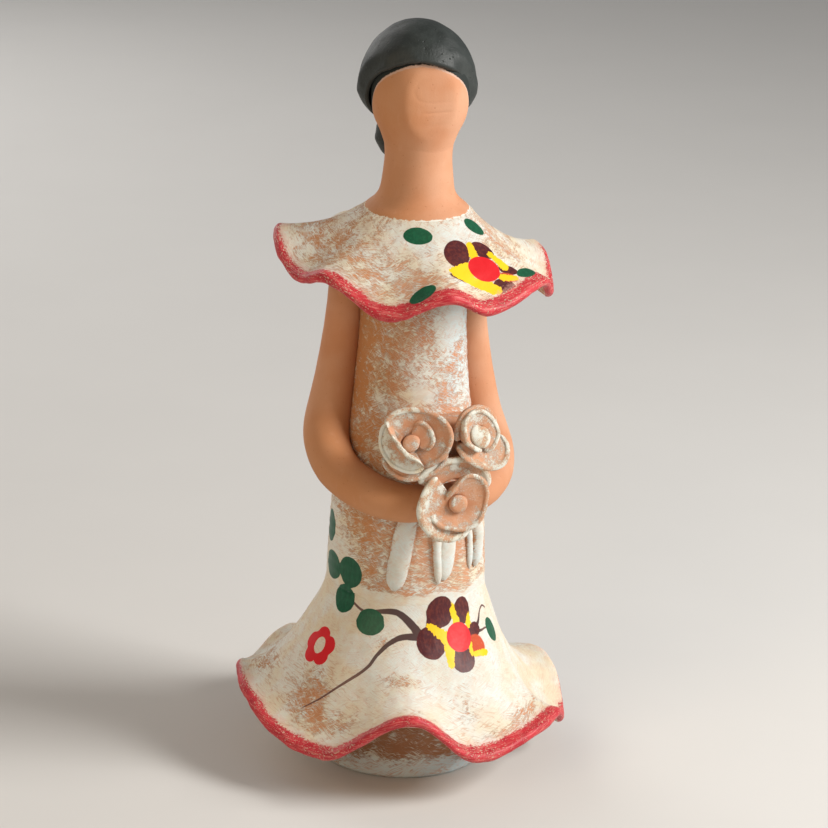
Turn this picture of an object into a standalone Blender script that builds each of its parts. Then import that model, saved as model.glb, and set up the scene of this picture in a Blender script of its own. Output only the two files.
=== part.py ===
"""Faceless clay doll with a ruffled dress, holding three roses.

Blender 4.5 script: blender --background --python part.py. Metres, +Z up, the doll faces -Y and
stands on Z 0 over the origin. Every piece of clay that the maker forms by itself is its own object.
Touching pieces are luted together with slip; here each such seam is a gap, seam_gap.
"""

import math

import bmesh
import bpy
from mathutils import Matrix, Vector

seam_gap = 0.0003  # slip seam between two touching pieces

# Body column: one thrown tube, open at the foot. Radii are outside radii.
foot_radius = 0.0290
foot_edge_round = 0.0016
hem_height = 0.0550  # where the flounce leaves the column
hem_radius = 0.0263
hip_height = 0.0910
hip_radius = 0.0246
chest_height = 0.1210
chest_radius = 0.0196
bust_height = 0.1500
shoulder_height = 0.1800
shoulder_radius = 0.0173
column_wall = 0.0040
column_segments = 32

# Neck and shoulders: a thrown stopper in the top of the column, hollow so that the head can dry and vent.
shoulder_depth = 0.0075  # from the column's top to the neckline
plug_depth = 0.0060
neck_foot_radius = 0.0122
neck_foot_rise = 0.0125  # from the column's top to where the neck springs from the shoulders
neck_radius = 0.0108
neck_top_radius = 0.0114
neck_length = 0.0180
neck_bore = 0.0055
neck_segments = 24

# Head: an egg with a flattened, featureless front.
head_turn = 17.0  # degrees that the face is turned towards -X
head_half_width = 0.0156
head_front = 0.0145
head_back = 0.0175
head_low_half_height = 0.0195
head_high_half_height = 0.0190
head_rise = 0.0155  # from the neck's top to the widest part
head_socket_depth = 0.0120
head_segments = 20

# Hair: a clay hood over the head, with an arched opening for the face, and a bun at the nape.
hair_thickness = 0.0036
hair_back_shift = 0.0020
hair_side_shift = 0.0009  # towards the doll's right
hair_crown_thickness = 0.0034
hair_low_half_height = 0.0156
hairline_rise = 0.0112  # above the head's widest part
hairline_half_width = 0.0160
hairline_corner = 0.0085
hair_edge_forward = 0.0020  # the side edges of the hair, forward of the head's middle plane
bun_radius = 0.0086
bun_sink = 0.0014  # how far the bun is pressed against the hood
bun_drop = 0.0195  # below the head's widest part

# Collar and flounce: rolled slabs, waved at the rim. Heights are those of the upper surface.
collar_rim_radius = 0.0445
collar_drop = 0.0090  # of the rim's middle height, below the column's top
collar_thickness = 0.0034
collar_segments = 72
flounce_rim_radius = 0.0540
flounce_rim_height = 0.0210
flounce_thickness = 0.0036
flounce_root_edge = 0.0010  # blunt upper edge of the flounce where it meets the column
flounce_segments = 60

# Crests and troughs of the two rims: bearing in degrees from the front towards +X, and rise in metres.
collar_waves = (
    (-112.0, 0.0090), (-75.5, 0.0005), (-60.0, 0.0040), (-29.5, -0.0060), (-4.5, 0.0010),
    (13.5, -0.0050), (46.5, 0.0000), (68.5, -0.0095), (94.0, -0.0012), (117.0, -0.0050),
    (140.0, 0.0040), (166.0, -0.0050), (192.0, 0.0032), (220.0, -0.0045),
)
flounce_waves = (
    (-106.5, 0.0075), (-49.5, -0.0040), (-16.0, 0.0135), (10.0, -0.0028), (50.5, 0.0015),
    (68.5, -0.0070), (100.0, 0.0034), (138.0, -0.0050), (161.0, 0.0060), (184.0, -0.0050),
    (208.0, 0.0054), (230.0, 0.0015),
)
# How hollow the slope from root to rim is, by bearing: 1 is straight.
collar_bows = ((-110.0, 1.1), (30.0, 1.15), (85.0, 1.9), (130.0, 1.6), (180.0, 1.2))
flounce_bows = ((-110.0, 1.55), (-30.0, 1.55), (20.0, 1.8), (75.0, 2.5), (120.0, 2.3), (180.0, 2.0))

# Arms: rolled coils pressed on the column, from under the collar to the front, where the hands meet.
arm_press = 0.0008
arm_sides = 12
hand_height = 0.0975
arm_top = shoulder_height - 0.0010
# Height, bearing from the front in degrees and coil radius, from the shoulder to the hand.
right_arm_stations = (
    (arm_top, 116.0, 0.0051), (arm_top - 0.0050, 115.5, 0.0055), (arm_top - 0.0260, 113.5, 0.0063),
    (hand_height + 0.0275, 107.7, 0.0075), (hand_height + 0.0155, 97.0, 0.0076),
    (hand_height + 0.0080, 76.0, 0.0073), (hand_height + 0.0025, 46.0, 0.0068),
    (hand_height, 24.0, 0.0063), (hand_height, 9.0, 0.0057), (hand_height + 0.0005, 3.4, 0.0034),
)
left_arm_stations = (
    (arm_top, 112.0, 0.0048), (arm_top - 0.0050, 111.5, 0.0051), (arm_top - 0.0260, 109.5, 0.0058),
    (hand_height + 0.0275, 106.0, 0.0068), (hand_height + 0.0155, 98.0, 0.0067),
    (hand_height + 0.0080, 80.0, 0.0064), (hand_height + 0.0025, 50.0, 0.0061),
    (hand_height, 26.0, 0.0059), (hand_height, 9.0, 0.0056), (hand_height + 0.0005, 3.4, 0.0034),
)
arm_rings = 24

# Bouquet: three rolled roses. Two sit on a pad on the chest and one on the hands.
rose_low_rise = 0.0035  # of the low rose's middle above the hands' middle
rose_depth = 0.0070
rose_strip = 0.0016  # thickness of a petal strip at the rim
rose_foot_strip = 0.0011
rose_bud_radius = 0.0027
rose_spacing = 0.0005
rose_left_radius = 0.0112
rose_right_radius = 0.0105
rose_low_radius = 0.0128
rose_low_offset = 0.0004
rose_low_seat = 0.0015  # how far the low rose is pressed into the hands
bouquet_offset = 0.0018
rose_high_seat = 0.0030  # how far the high roses are pressed into their pad
pad_half_width = 0.0150
pad_half_height = 0.0085
pad_drop = 0.0035  # below the middle of the high roses
pad_depth = 0.0135
pad_squareness = 3.5

# Stems: flattened strands laid on the skirt below the hands.
stem_top_height = hand_height - 0.0050
stem_length = 0.0250
stem_clearance = 0.0040  # least height of a stem's foot above the flounce
stem_sides = 8
stems = (  # name, top, middle and foot bearing in degrees, width, thickness
    ("stem_far_left", -18.0, -23.0, -27.5, 0.0062, 0.0044),
    ("stem_middle_left", 2.6, 2.4, 3.4, 0.0027, 0.0034),
    ("stem_middle_right", 12.6, 12.2, 11.0, 0.0046, 0.0040),
    ("stem_right_inner", 25.0, 31.0, 31.5, 0.0026, 0.0032),
    ("stem_far_right", 34.0, 41.0, 38.6, 0.0036, 0.0040),
)

terracotta = (0.62, 0.33, 0.19)
dress_paint = (0.80, 0.76, 0.64)
rose_paint = (0.78, 0.62, 0.50)
hair_paint = (0.035, 0.045, 0.042)


def clear_scene():
    for old in list(bpy.data.objects):
        bpy.data.objects.remove(old, do_unlink=True)


def clay(name, colour, roughness):
    material = bpy.data.materials.new(name)
    material.use_nodes = True
    shader = material.node_tree.nodes["Principled BSDF"]
    shader.inputs["Base Color"].default_value = (*colour, 1.0)
    shader.inputs["Roughness"].default_value = roughness
    shader.inputs["Metallic"].default_value = 0.0
    return material


def along(stations, x):
    """Smooth curve through (x, value) stations, held level beyond the ends."""
    if x <= stations[0][0]:
        return stations[0][1]
    if x >= stations[-1][0]:
        return stations[-1][1]
    slopes = []
    for i in range(len(stations)):
        before, after = stations[max(i - 1, 0)], stations[min(i + 1, len(stations) - 1)]
        slopes.append((after[1] - before[1]) / (after[0] - before[0]))
    for i in range(len(stations) - 1):
        (x0, y0), (x1, y1) = stations[i], stations[i + 1]
        if x <= x1:
            span = x1 - x0
            t = (x - x0) / span
            return (
                y0 * (2 * t**3 - 3 * t**2 + 1)
                + slopes[i] * span * (t**3 - 2 * t**2 + t)
                + y1 * (3 * t**2 - 2 * t**3)
                + slopes[i + 1] * span * (t**3 - t**2)
            )
    return stations[-1][1]


def rise_at(waves, bearing):
    """Value at a bearing, such as the rim's rise, eased between neighbouring stations all the way round."""
    turn = 360.0
    x = (bearing - waves[0][0]) % turn + waves[0][0]
    ring = list(waves) + [(waves[0][0] + turn, waves[0][1])]
    for (x0, y0), (x1, y1) in zip(ring, ring[1:]):
        if x <= x1:
            ease = (1 - math.cos(math.pi * (x - x0) / (x1 - x0))) / 2
            return y0 + (y1 - y0) * ease
    return ring[-1][1]


def at_bearing(radius, bearing, height):
    """Point at a bearing in degrees from the front towards +X."""
    angle = math.radians(bearing)
    return Vector((radius * math.sin(angle), -radius * math.cos(angle), height))


def skin(name, rings, material, looped=False):
    """One closed body through equal rings of points: a looped one joins its ends, any other is capped."""
    mesh = bpy.data.meshes.new(name)
    work = bmesh.new()
    rows = [[work.verts.new(point) for point in ring] for ring in rings]
    pairs = list(zip(rows, rows[1:]))
    if looped:
        pairs.append((rows[-1], rows[0]))
    else:
        work.faces.new(reversed(rows[0]))
        work.faces.new(rows[-1])
    count = len(rings[0])
    for low, high in pairs:
        for i in range(count):
            j = (i + 1) % count
            work.faces.new((low[i], low[j], high[j], high[i]))
    bmesh.ops.recalc_face_normals(work, faces=work.faces)
    work.to_mesh(mesh)
    work.free()
    mesh.shade_smooth()
    mesh.set_sharp_from_angle(angle=math.radians(40))
    made = bpy.data.objects.new(name, mesh)
    bpy.context.scene.collection.objects.link(made)
    if material:
        mesh.materials.append(material)
    return made


def as_cutter(tool):
    tool.hide_render = True
    tool.display_type = "WIRE"
    return tool


def cut(piece, *cutters):
    for tool in cutters:
        modifier = piece.modifiers.new("cut_" + tool.name, "BOOLEAN")
        modifier.operation = "DIFFERENCE"
        modifier.solver = "EXACT"
        modifier.object = tool
    return piece


def turned(name, profile, segments, material):
    """Ring-shaped or hollow turned body: the closed (radius, height) profile swept round the axis."""
    rings = []
    for k in range(segments):
        bearing = 360.0 * k / segments
        rings.append([at_bearing(r, bearing, z) for r, z in profile])
    return skin(name, rings, material, looped=True)


def stacked(name, outline, material):
    """Solid turned body standing on the axis, from (radius, height) rings, capped at both ends."""
    rings = []
    for r, z in outline:
        rings.append([at_bearing(r, 360.0 * k / column_segments, z) for k in range(column_segments)])
    return skin(name, rings, material)


def column_radius(height):
    return along(
        (
            (0.0, foot_radius),
            (hem_height, hem_radius),
            (hip_height, hip_radius),
            (chest_height, chest_radius),
            (bust_height, shoulder_radius),
            (shoulder_height, shoulder_radius),
        ),
        height,
    )


def column_heights():
    steps = 6
    upper = [hem_height + (bust_height - hem_height) * k / steps for k in range(steps + 1)]
    return [hem_height / 2, *upper, shoulder_height]


def body_column(material):
    heights = column_heights()
    outer = [(foot_radius - foot_edge_round, 0.0), (foot_radius, foot_edge_round)]
    outer += [(column_radius(z), z) for z in heights]
    inner = [(column_radius(z) - column_wall, z) for z in reversed(heights[::2])]
    inner = [(shoulder_radius - column_wall, shoulder_height), *inner]
    foot = [(foot_radius - column_wall, 0.0)]
    return turned("body_column", outer + inner + foot, column_segments, material)


def column_cutter():
    """The column's outside grown by the seam gap, solid, for what is pressed against it."""
    heights = [-0.005, 0.0, *column_heights(), shoulder_height + shoulder_depth]
    outline = [(column_radius(max(z, 0.0)) + seam_gap, z) for z in heights]
    return as_cutter(stacked("column_cutter", outline, None))


def neck_outline(grow=0.0):
    """(radius, height) of the neck's outside, from the neckline up."""
    neckline = shoulder_height + shoulder_depth
    spring = shoulder_height + neck_foot_rise
    top = spring + neck_length
    middle = (spring + top) / 2
    rim = shoulder_radius
    points = (
        (rim, neckline - 0.0020),
        (rim - 0.0008, neckline + 0.0002),
        (rim - (rim - neck_foot_radius) * 0.62, (neckline + spring) / 2 - 0.0002),
        (neck_foot_radius, spring),
        ((neck_foot_radius + neck_radius) / 2 - 0.0002, (spring + middle) / 2),
        (neck_radius, middle),
        (neck_top_radius, top),
    )
    return [(r + grow, z) for r, z in points]


def neck_top():
    return shoulder_height + neck_foot_rise + neck_length


def neck_and_shoulders(material):
    seat = shoulder_height + seam_gap
    plug_radius = shoulder_radius - column_wall - seam_gap
    plug_foot = shoulder_height - plug_depth
    profile = [(neck_bore, plug_foot), (plug_radius, plug_foot), (plug_radius, seat), (shoulder_radius, seat)]
    profile += neck_outline()
    profile.append((neck_bore, neck_top()))
    return turned("neck_and_shoulders", profile, neck_segments, material)


def neck_cutter():
    outline = neck_outline(seam_gap)
    outline.append((neck_top_radius + seam_gap, neck_top() + 0.0020))
    return as_cutter(stacked("neck_cutter", outline, None))


def head_centre():
    return neck_top() + head_rise


def turned_head(point):
    return Matrix.Rotation(math.radians(-head_turn), 3, "Z") @ point


def egg_ring(half_width, front, back, share, height, segments, squareness, shift=(0.0, 0.0)):
    """Horizontal ring of an egg at a share of its full size. Squareness over 2 flattens the front."""
    ring = []
    for k in range(segments):
        angle = 2 * math.pi * k / segments
        x, y = math.sin(angle), -math.cos(angle)
        if y < 0:
            swell = (abs(x) ** squareness + abs(y) ** squareness) ** (-1 / squareness)
            x, y = x * swell, y * swell
        depth = front if y < 0 else back
        ring.append(turned_head(Vector((half_width * share * x + shift[0], depth * share * y + shift[1], height))))
    return ring


def head_share(height, grow=0.0):
    """Share of the head's full width at a height: blunt at the chin, rounder at the crown."""
    offset = height - head_centre()
    if offset < 0:
        power, half = 2.7, head_low_half_height + grow
    else:
        power, half = 2.2, head_high_half_height + grow
    return max(1 - abs(offset / half) ** power, 0.0) ** (1 / power)


def head_rings(grow=0.0, foot=None):
    low = neck_top() + seam_gap if foot is None else foot
    high = head_centre() + head_high_half_height + grow
    steps = (0.0, 0.07, 0.16, 0.30, 0.46, 0.62, 0.76, 0.88, 0.96, 0.995)
    rings = []
    for step in steps:
        height = low + (high - low) * step
        share = head_share(height, grow)
        rings.append(
            egg_ring(
                head_half_width + grow, head_front + grow, head_back + grow, share, height, head_segments, 2.3
            )
        )
    return rings


def head(material):
    piece = skin("head", head_rings(), material)
    low = neck_top() - 0.004
    high = neck_top() + head_socket_depth
    socket = as_cutter(stacked("head_socket", [(neck_bore, low), (neck_bore, high - 0.003), (0.003, high)], None))
    return cut(piece, socket)


def hair_rings(grow=0.0):
    """The hood's outside: an ellipsoid set a little behind the head."""
    centre = head_centre()
    up = head_high_half_height + hair_crown_thickness + grow
    down = hair_low_half_height + grow
    angles = [-85, -70, -52, -34, -16, 2, 20, 38, 55, 70, 82]
    rings = []
    for angle in angles:
        rise = math.sin(math.radians(angle))
        height = centre + rise * (up if rise > 0 else down)
        rings.append(
            egg_ring(
                head_half_width + hair_thickness + grow,
                head_front + hair_thickness + hair_back_shift + grow,
                head_back + hair_thickness + grow,
                math.cos(math.radians(angle)),
                height,
                head_segments + 4,
                2.0,
                (-hair_side_shift, hair_back_shift),
            )
        )
    return rings


def face_opening_cutter():
    """Arched prism that opens the hood over the face, from the hairline down."""
    top = head_centre() + hairline_rise
    low = neck_top() - 0.010
    half, corner = hairline_half_width, hairline_corner
    outline = [(half, low)]
    for k in range(5):
        angle = math.radians(90 * k / 4)
        outline.append((half - corner + corner * math.cos(angle), top - corner + corner * math.sin(angle)))
    outline += [(-x, z) for x, z in reversed(outline)]
    rings = []
    for y in (-0.040, -hair_edge_forward):
        rings.append([turned_head(Vector((x, y, z))) for x, z in outline])
    return as_cutter(skin("face_opening_cutter", rings, None))


def hair_cap(material, head_tool, neck_tool):
    piece = skin("hair_cap", hair_rings(), material)
    return cut(piece, head_tool, neck_tool, face_opening_cutter())


def hair_bun(material, head_tool, neck_tool):
    """Slightly flattened ball at the nape, pressed against the hood."""
    height = head_centre() - bun_drop
    back = max(neck_top_radius, (head_back + hair_thickness) * 0.5) + bun_radius - bun_sink
    flattening = 0.92
    rings = []
    for angle in (-78, -55, -32, -10, 12, 34, 56, 78):
        level, reach = math.sin(math.radians(angle)), math.cos(math.radians(angle))
        ring = []
        for k in range(14):
            turn = 2 * math.pi * (k + 0.5) / 14
            ring.append(
                Vector(
                    (
                        bun_radius * reach * math.sin(turn),
                        back + bun_radius * flattening * reach * math.cos(turn),
                        height + bun_radius * level,
                    )
                )
            )
        rings.append(ring)
    piece = skin("hair_bun", rings, material)
    hood = as_cutter(skin("hood_cutter", hair_rings(seam_gap), None))
    return cut(piece, hood, head_tool, neck_tool)


def ruffle_section(root, rim, rise, thickness, bow, grow, steps):
    """Closed (radius, height) section of a ruffle at one bearing, from root to rim and back underneath."""
    upper = []
    for k in range(steps + 1):
        s = k / steps
        radius = root[0] + (rim[0] - root[0]) * s
        height = rim[1] + (root[1] - rim[1]) * (1 - s) ** bow + rise * s**1.8
        upper.append(Vector((radius, height)))
    normals = []
    for k in range(steps + 1):
        run = upper[min(k + 1, steps)] - upper[max(k - 1, 0)]
        normals.append(Vector((-run.y, run.x)).normalized())
    top = [p + n * grow for p, n in zip(upper, normals)]
    under = [p - n * (thickness + grow) for p, n in zip(upper, normals)]
    outward = (upper[-1] - upper[-2]).normalized()
    lip = upper[-1] - normals[-1] * thickness / 2 + outward * (thickness * 0.3 + grow)
    return top, lip, under


def ruffle_rings(root, rim, waves, bows, thickness, segments, wall, grow=0.0, steps=5):
    """Rings of a ruffle. wall(height) is the least radius that its underside may have."""
    rings = []
    for k in range(segments):
        bearing = 360.0 * k / segments
        rise, bow = rise_at(waves, bearing), rise_at(bows, bearing)
        top, lip, under = ruffle_section(root, rim, rise, thickness, bow, grow, steps)
        section = [*top, lip, *reversed(under)]
        rings.append([at_bearing(max(p.x, wall(p.y)), bearing, p.y) for p in section])
    return rings


def collar_rings(grow=0.0):
    inner = shoulder_radius + seam_gap
    root = (inner, shoulder_height + shoulder_depth - 0.0004)
    rim = (collar_rim_radius, shoulder_height - collar_drop)
    limit = inner - grow
    return ruffle_rings(
        root, rim, collar_waves, collar_bows, collar_thickness, collar_segments, lambda height: limit, grow, 4
    )


def flounce_rings():
    wall = hem_radius + seam_gap + flounce_root_edge
    root = (wall, hem_height)
    rim = (flounce_rim_radius, flounce_rim_height)
    return ruffle_rings(
        root, rim, flounce_waves, flounce_bows, flounce_thickness, flounce_segments,
        lambda height: column_radius(max(height, 0.0)) + seam_gap * 1.5,
    )


def coil_ring(centre, tangent, outward, width, thickness, sides):
    """Oval section of a coil: thickness is measured away from the column."""
    across = tangent.cross(outward).normalized()
    away = across.cross(tangent).normalized()
    ring = []
    for k in range(sides):
        angle = 2 * math.pi * k / sides
        ring.append(centre + away * (thickness / 2 * math.cos(angle)) + across * (width / 2 * math.sin(angle)))
    return ring


def stations_of(side):
    return left_arm_stations if side > 0 else right_arm_stations


def arm_path(side):
    """(centre, outward direction, radius) along the arm. side is 1 for the doll's left, at +X, or -1."""
    arm_stations = stations_of(side)
    count = len(arm_stations) - 1
    found = []
    for k in range(arm_rings + 1):
        t = count * k / arm_rings
        height, bearing, radius = (
            along([(i, station[column]) for i, station in enumerate(arm_stations)], t) for column in range(3)
        )
        reach = column_radius(height) + arm_full_radius(arm_stations, t) - arm_press
        found.append((at_bearing(reach, side * bearing, height), at_bearing(1.0, side * bearing, 0.0), radius))
    return found


def arm_full_radius(arm_stations, t):
    """Coil radius without the rounding of the two ends, which sets how far the coil stands off the column."""
    body = [(i, station[2]) for i, station in enumerate(arm_stations)][1:-1]
    return along(body, t)


def arm(name, side, material):
    path = arm_path(side)
    rings = []
    for k, (centre, outward, radius) in enumerate(path):
        tangent = path[min(k + 1, arm_rings)][0] - path[max(k - 1, 0)][0]
        rings.append(coil_ring(centre, tangent, outward, 2 * radius, 2 * radius, arm_sides))
    return skin(name, rings, material)


def hand_front():
    """How far the hands' front stands from the column's axis."""
    height, _, radius = right_arm_stations[-2]
    return column_radius(height) + 2 * radius - arm_press


def rose_frame(centre, yaw, tilt):
    """Matrix of a rose: its local Z looks out of the flower, local Y up."""
    out = Vector(
        (
            math.sin(math.radians(yaw)) * math.cos(math.radians(tilt)),
            -math.cos(math.radians(yaw)) * math.cos(math.radians(tilt)),
            math.sin(math.radians(tilt)),
        )
    )
    right = Vector((0, 0, 1)).cross(out).normalized()
    up = out.cross(right)
    frame = Matrix((right, up, out)).transposed().to_4x4()
    frame.translation = centre
    return frame


def high_rose_columns():
    """(x, radius) of the two high roses."""
    left_x = bouquet_offset - rose_left_radius - rose_spacing / 2
    right_x = bouquet_offset + rose_right_radius + rose_spacing / 2
    return (left_x, rose_left_radius), (right_x, rose_right_radius)


def low_rose_place():
    """(x, front, height) of the low rose, which sits on the hands."""
    (left_x, _), (right_x, _) = high_rose_columns()
    front = hand_front() + rose_depth - rose_low_seat
    return (left_x + right_x) / 2 + rose_low_offset, front, hand_height + rose_low_rise


def high_rose_place():
    """(front, height) of the high roses: they rest on the low one, rim against rim."""
    low_x, low_front, low_height = low_rose_place()
    height = low_height
    for _ in range(6):
        front = column_radius(height) + pad_depth + rose_depth - rose_high_seat
        rises = []
        for x, radius in high_rose_columns():
            reach = radius + rose_low_radius + rose_spacing
            rises.append(math.sqrt(max(reach**2 - (x - low_x) ** 2 - (low_front - front) ** 2, 0.0)))
        height = low_height + max(rises)
    return front, height


def rose_places():
    """Name, frame, radius and turn of each rose."""
    (left_x, left_radius), (right_x, right_radius) = high_rose_columns()
    low_x, low_front, low_height = low_rose_place()
    front, height = high_rose_place()
    return (
        ("rose_left", rose_frame(Vector((left_x, -front, height)), -14, 10), left_radius, 200),
        ("rose_right", rose_frame(Vector((right_x, -front, height)), 16, 8), right_radius, 60),
        ("rose_low", rose_frame(Vector((low_x, -low_front, low_height)), -2, 8), rose_low_radius, 300),
    )


def petal_spans(radius):
    """(name, start and end angle, start and end rim radius) of a rose's strips, which follow one spiral."""
    half = rose_strip / 2
    outer = radius - half
    step = rose_strip + seam_gap * 2
    inner = rose_bud_radius + seam_gap * 2 + half
    return (
        ("inner_petal", 0, 400, inner, inner + step * 400 / 360),
        ("middle_petal", 420, 610, outer - step - 0.0008, outer - 0.0008),
        ("outer_petal", 616, 805, outer - 0.0004, outer),
    )


def foot_spiral(angle):
    """Middle of the strip at the rose's foot: each turn lies one strip and one seam outside the last."""
    start = rose_bud_radius * 0.7 + seam_gap + rose_foot_strip / 2
    return start + (rose_foot_strip + seam_gap) * angle / 360


def petal(name, frame, span, turn, material):
    """One clay strip rolled round the bud, leaning out towards the rim and thinned at both ends."""
    start, end, rim_start, rim_end = span
    count = max(int((end - start) / 26), 6)
    rings = []
    for k in range(count + 1):
        t = k / count
        angle = math.radians(start + (end - start) * t + turn)
        fade = 0.55 + 0.45 * math.sin(math.pi * min(max(t, 0.04), 0.96)) ** 0.5
        rim = rim_start + (rim_end - rim_start) * t
        foot = foot_spiral(start + (end - start) * t)
        half_rim, half_foot = rose_strip / 2 * fade, rose_foot_strip / 2 * fade
        top = -0.0012 * (1 - fade)
        section = (
            (foot - half_foot, -rose_depth),
            (rim - half_rim, top - 0.0005),
            (rim + half_rim * 0.2, top),
            (rim + half_rim, top - 0.0007),
            (foot + half_foot, -rose_depth),
        )
        rings.append([frame @ Vector((r * math.cos(angle), r * math.sin(angle), z)) for r, z in section])
    return skin(name, rings, material)


def bud(name, frame, material):
    """The rolled centre of a rose, domed at the top."""
    outline = ((0.7, -rose_depth), (1.0, -0.0012), (0.82, 0.0002), (0.35, 0.0008))
    rings = []
    for share, z in outline:
        ring = []
        for k in range(10):
            angle = 2 * math.pi * k / 10
            reach = rose_bud_radius * share
            ring.append(frame @ Vector((reach * math.cos(angle), reach * math.sin(angle), z)))
        rings.append(ring)
    return skin(name, rings, material)


def rose_envelope(name, frame, radius):
    """Cone that just holds a rose, grown by the seam gap, for what the rose is pressed into."""
    foot = foot_spiral(petal_spans(radius)[2][2]) + rose_foot_strip / 2 + seam_gap
    rings = []
    for reach, z in ((foot, -rose_depth - seam_gap), (radius + seam_gap * 1.5, 0.0012)):
        ring = []
        for k in range(24):
            angle = 2 * math.pi * k / 24
            ring.append(frame @ Vector((reach * math.cos(angle), reach * math.sin(angle), z)))
        rings.append(ring)
    return as_cutter(skin(name, rings, None))


def rose(name, frame, radius, turn, material):
    bud(name + "_bud", frame, material)
    for part, *span in petal_spans(radius):
        petal(f"{name}_{part}", frame, span, turn, material)
    return rose_envelope(name + "_envelope", frame, radius)


def bouquet_pad(material, cutters):
    """Wad of clay on the chest that the two high roses are bedded in."""
    _, height = high_rose_place()
    centre = Vector((bouquet_offset, -column_radius(height) + 0.0025, height - pad_drop))
    reach = pad_depth + 0.0025
    rings = []
    power = pad_squareness
    for level in (-0.98, -0.86, -0.6, -0.2, 0.2, 0.6, 0.86, 0.98):
        share = (1 - abs(level) ** power) ** (1 / power)
        ring = []
        for k in range(20):
            turn = 2 * math.pi * (k + 0.5) / 20
            x, y = math.sin(turn), -math.cos(turn)
            swell = share * (abs(x) ** power + abs(y) ** power) ** (-1 / power)
            ring.append(centre + Vector((pad_half_width * swell * x, reach * swell * y, pad_half_height * level)))
        rings.append(ring)
    return cut(skin("bouquet_pad", rings, material), *cutters)


def stem_foot():
    return max(stem_top_height - stem_length, hem_height + stem_clearance)


def stem(name, bearings, width, thickness, material):
    """Strand pressed on the skirt, thinned at the foot."""
    count = 6
    stations = [(i / 2, value) for i, value in enumerate(bearings)]
    path = []
    for k in range(count + 1):
        t = k / count
        height = stem_top_height + (stem_foot() - stem_top_height) * t
        bearing = along(stations, t)
        reach = column_radius(height) + thickness * 0.38
        path.append((at_bearing(reach, bearing, height), at_bearing(1.0, bearing, 0.0)))
    shares = (0.62, 0.9, 1.0, 1.0, 0.96, 0.86, 0.5)
    rings = []
    for k, (centre, outward) in enumerate(path):
        tangent = path[min(k + 1, count)][0] - path[max(k - 1, 0)][0]
        rings.append(coil_ring(centre, tangent, outward, width * shares[k], thickness * shares[k], stem_sides))
    return skin(name, rings, material)


def grown_arm(side):
    """The arm grown by the seam gap, as a cutter."""
    path = arm_path(side)
    rings = []
    for k, (centre, outward, radius) in enumerate(path):
        tangent = path[min(k + 1, arm_rings)][0] - path[max(k - 1, 0)][0]
        across = 2 * (radius + seam_gap * 1.3)
        rings.append(coil_ring(centre, tangent, outward, across, across, arm_sides))
    return as_cutter(skin(f"arm_cutter_{'left' if side > 0 else 'right'}", rings, None))


def build():
    clear_scene()
    bare = clay("terracotta", terracotta, 0.78)
    painted = clay("dress_paint", dress_paint, 0.72)
    rose_clay = clay("rose_paint", rose_paint, 0.74)
    dark = clay("hair_paint", hair_paint, 0.45)

    body_column(painted)
    column_tool = column_cutter()
    skin("skirt_flounce", flounce_rings(), painted, looped=True)
    skin("collar_ruffle", collar_rings(), painted, looped=True)
    collar_tool = as_cutter(skin("collar_cutter", collar_rings(seam_gap), None, looped=True))

    neck_and_shoulders(bare)
    neck_tool = neck_cutter()
    head(bare)
    head_tool = as_cutter(skin("head_cutter", head_rings(seam_gap * 1.5, neck_top() - 0.002), None))
    hair_cap(dark, head_tool, neck_tool)
    hair_bun(dark, head_tool, neck_tool)

    envelopes = [rose(*place, rose_clay) for place in rose_places()]
    arm_tools = []
    for name, side in (("left_arm", 1), ("right_arm", -1)):
        cut(arm(name, side, bare), column_tool, collar_tool, *envelopes)
        arm_tools.append(grown_arm(side))
    bouquet_pad(rose_clay, [column_tool, *arm_tools, *envelopes])
    for name, top, middle, foot, width, thickness in stems:
        piece = stem(name, (top, middle, foot), width, thickness, painted)
        cut(piece, column_tool, *arm_tools, envelopes[2])


build()
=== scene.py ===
import math
from functools import reduce

import bpy
import numpy as np
from mathutils import Matrix, Vector


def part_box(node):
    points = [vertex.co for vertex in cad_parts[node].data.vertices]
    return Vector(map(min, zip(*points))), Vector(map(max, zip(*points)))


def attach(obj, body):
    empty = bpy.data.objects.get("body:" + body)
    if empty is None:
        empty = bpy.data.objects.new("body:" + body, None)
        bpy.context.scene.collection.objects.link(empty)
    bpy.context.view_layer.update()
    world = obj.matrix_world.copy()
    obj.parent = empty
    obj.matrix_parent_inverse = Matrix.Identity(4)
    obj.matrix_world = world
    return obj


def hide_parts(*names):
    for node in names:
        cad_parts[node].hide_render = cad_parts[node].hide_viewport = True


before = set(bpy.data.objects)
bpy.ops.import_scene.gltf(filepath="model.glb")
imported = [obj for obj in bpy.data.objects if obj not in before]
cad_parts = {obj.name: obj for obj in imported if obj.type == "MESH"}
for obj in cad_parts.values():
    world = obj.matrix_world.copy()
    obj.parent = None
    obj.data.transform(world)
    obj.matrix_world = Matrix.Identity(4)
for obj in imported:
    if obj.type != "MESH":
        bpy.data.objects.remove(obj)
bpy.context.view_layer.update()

mm = 0.001  # every size below is in millimetres, bearings are degrees from the front towards +X


def boxOf(node):
    low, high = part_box(node)
    return np.array(low) / mm, np.array(high) / mm


columnTop = boxOf("body_column")[1][2]
collarRoot = boxOf("collar_ruffle")[1][2]
headTop = boxOf("head")[1][2]
handDrop = 82.5  # from the column's top down to the hands
handHeight = columnTop - handDrop


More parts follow.
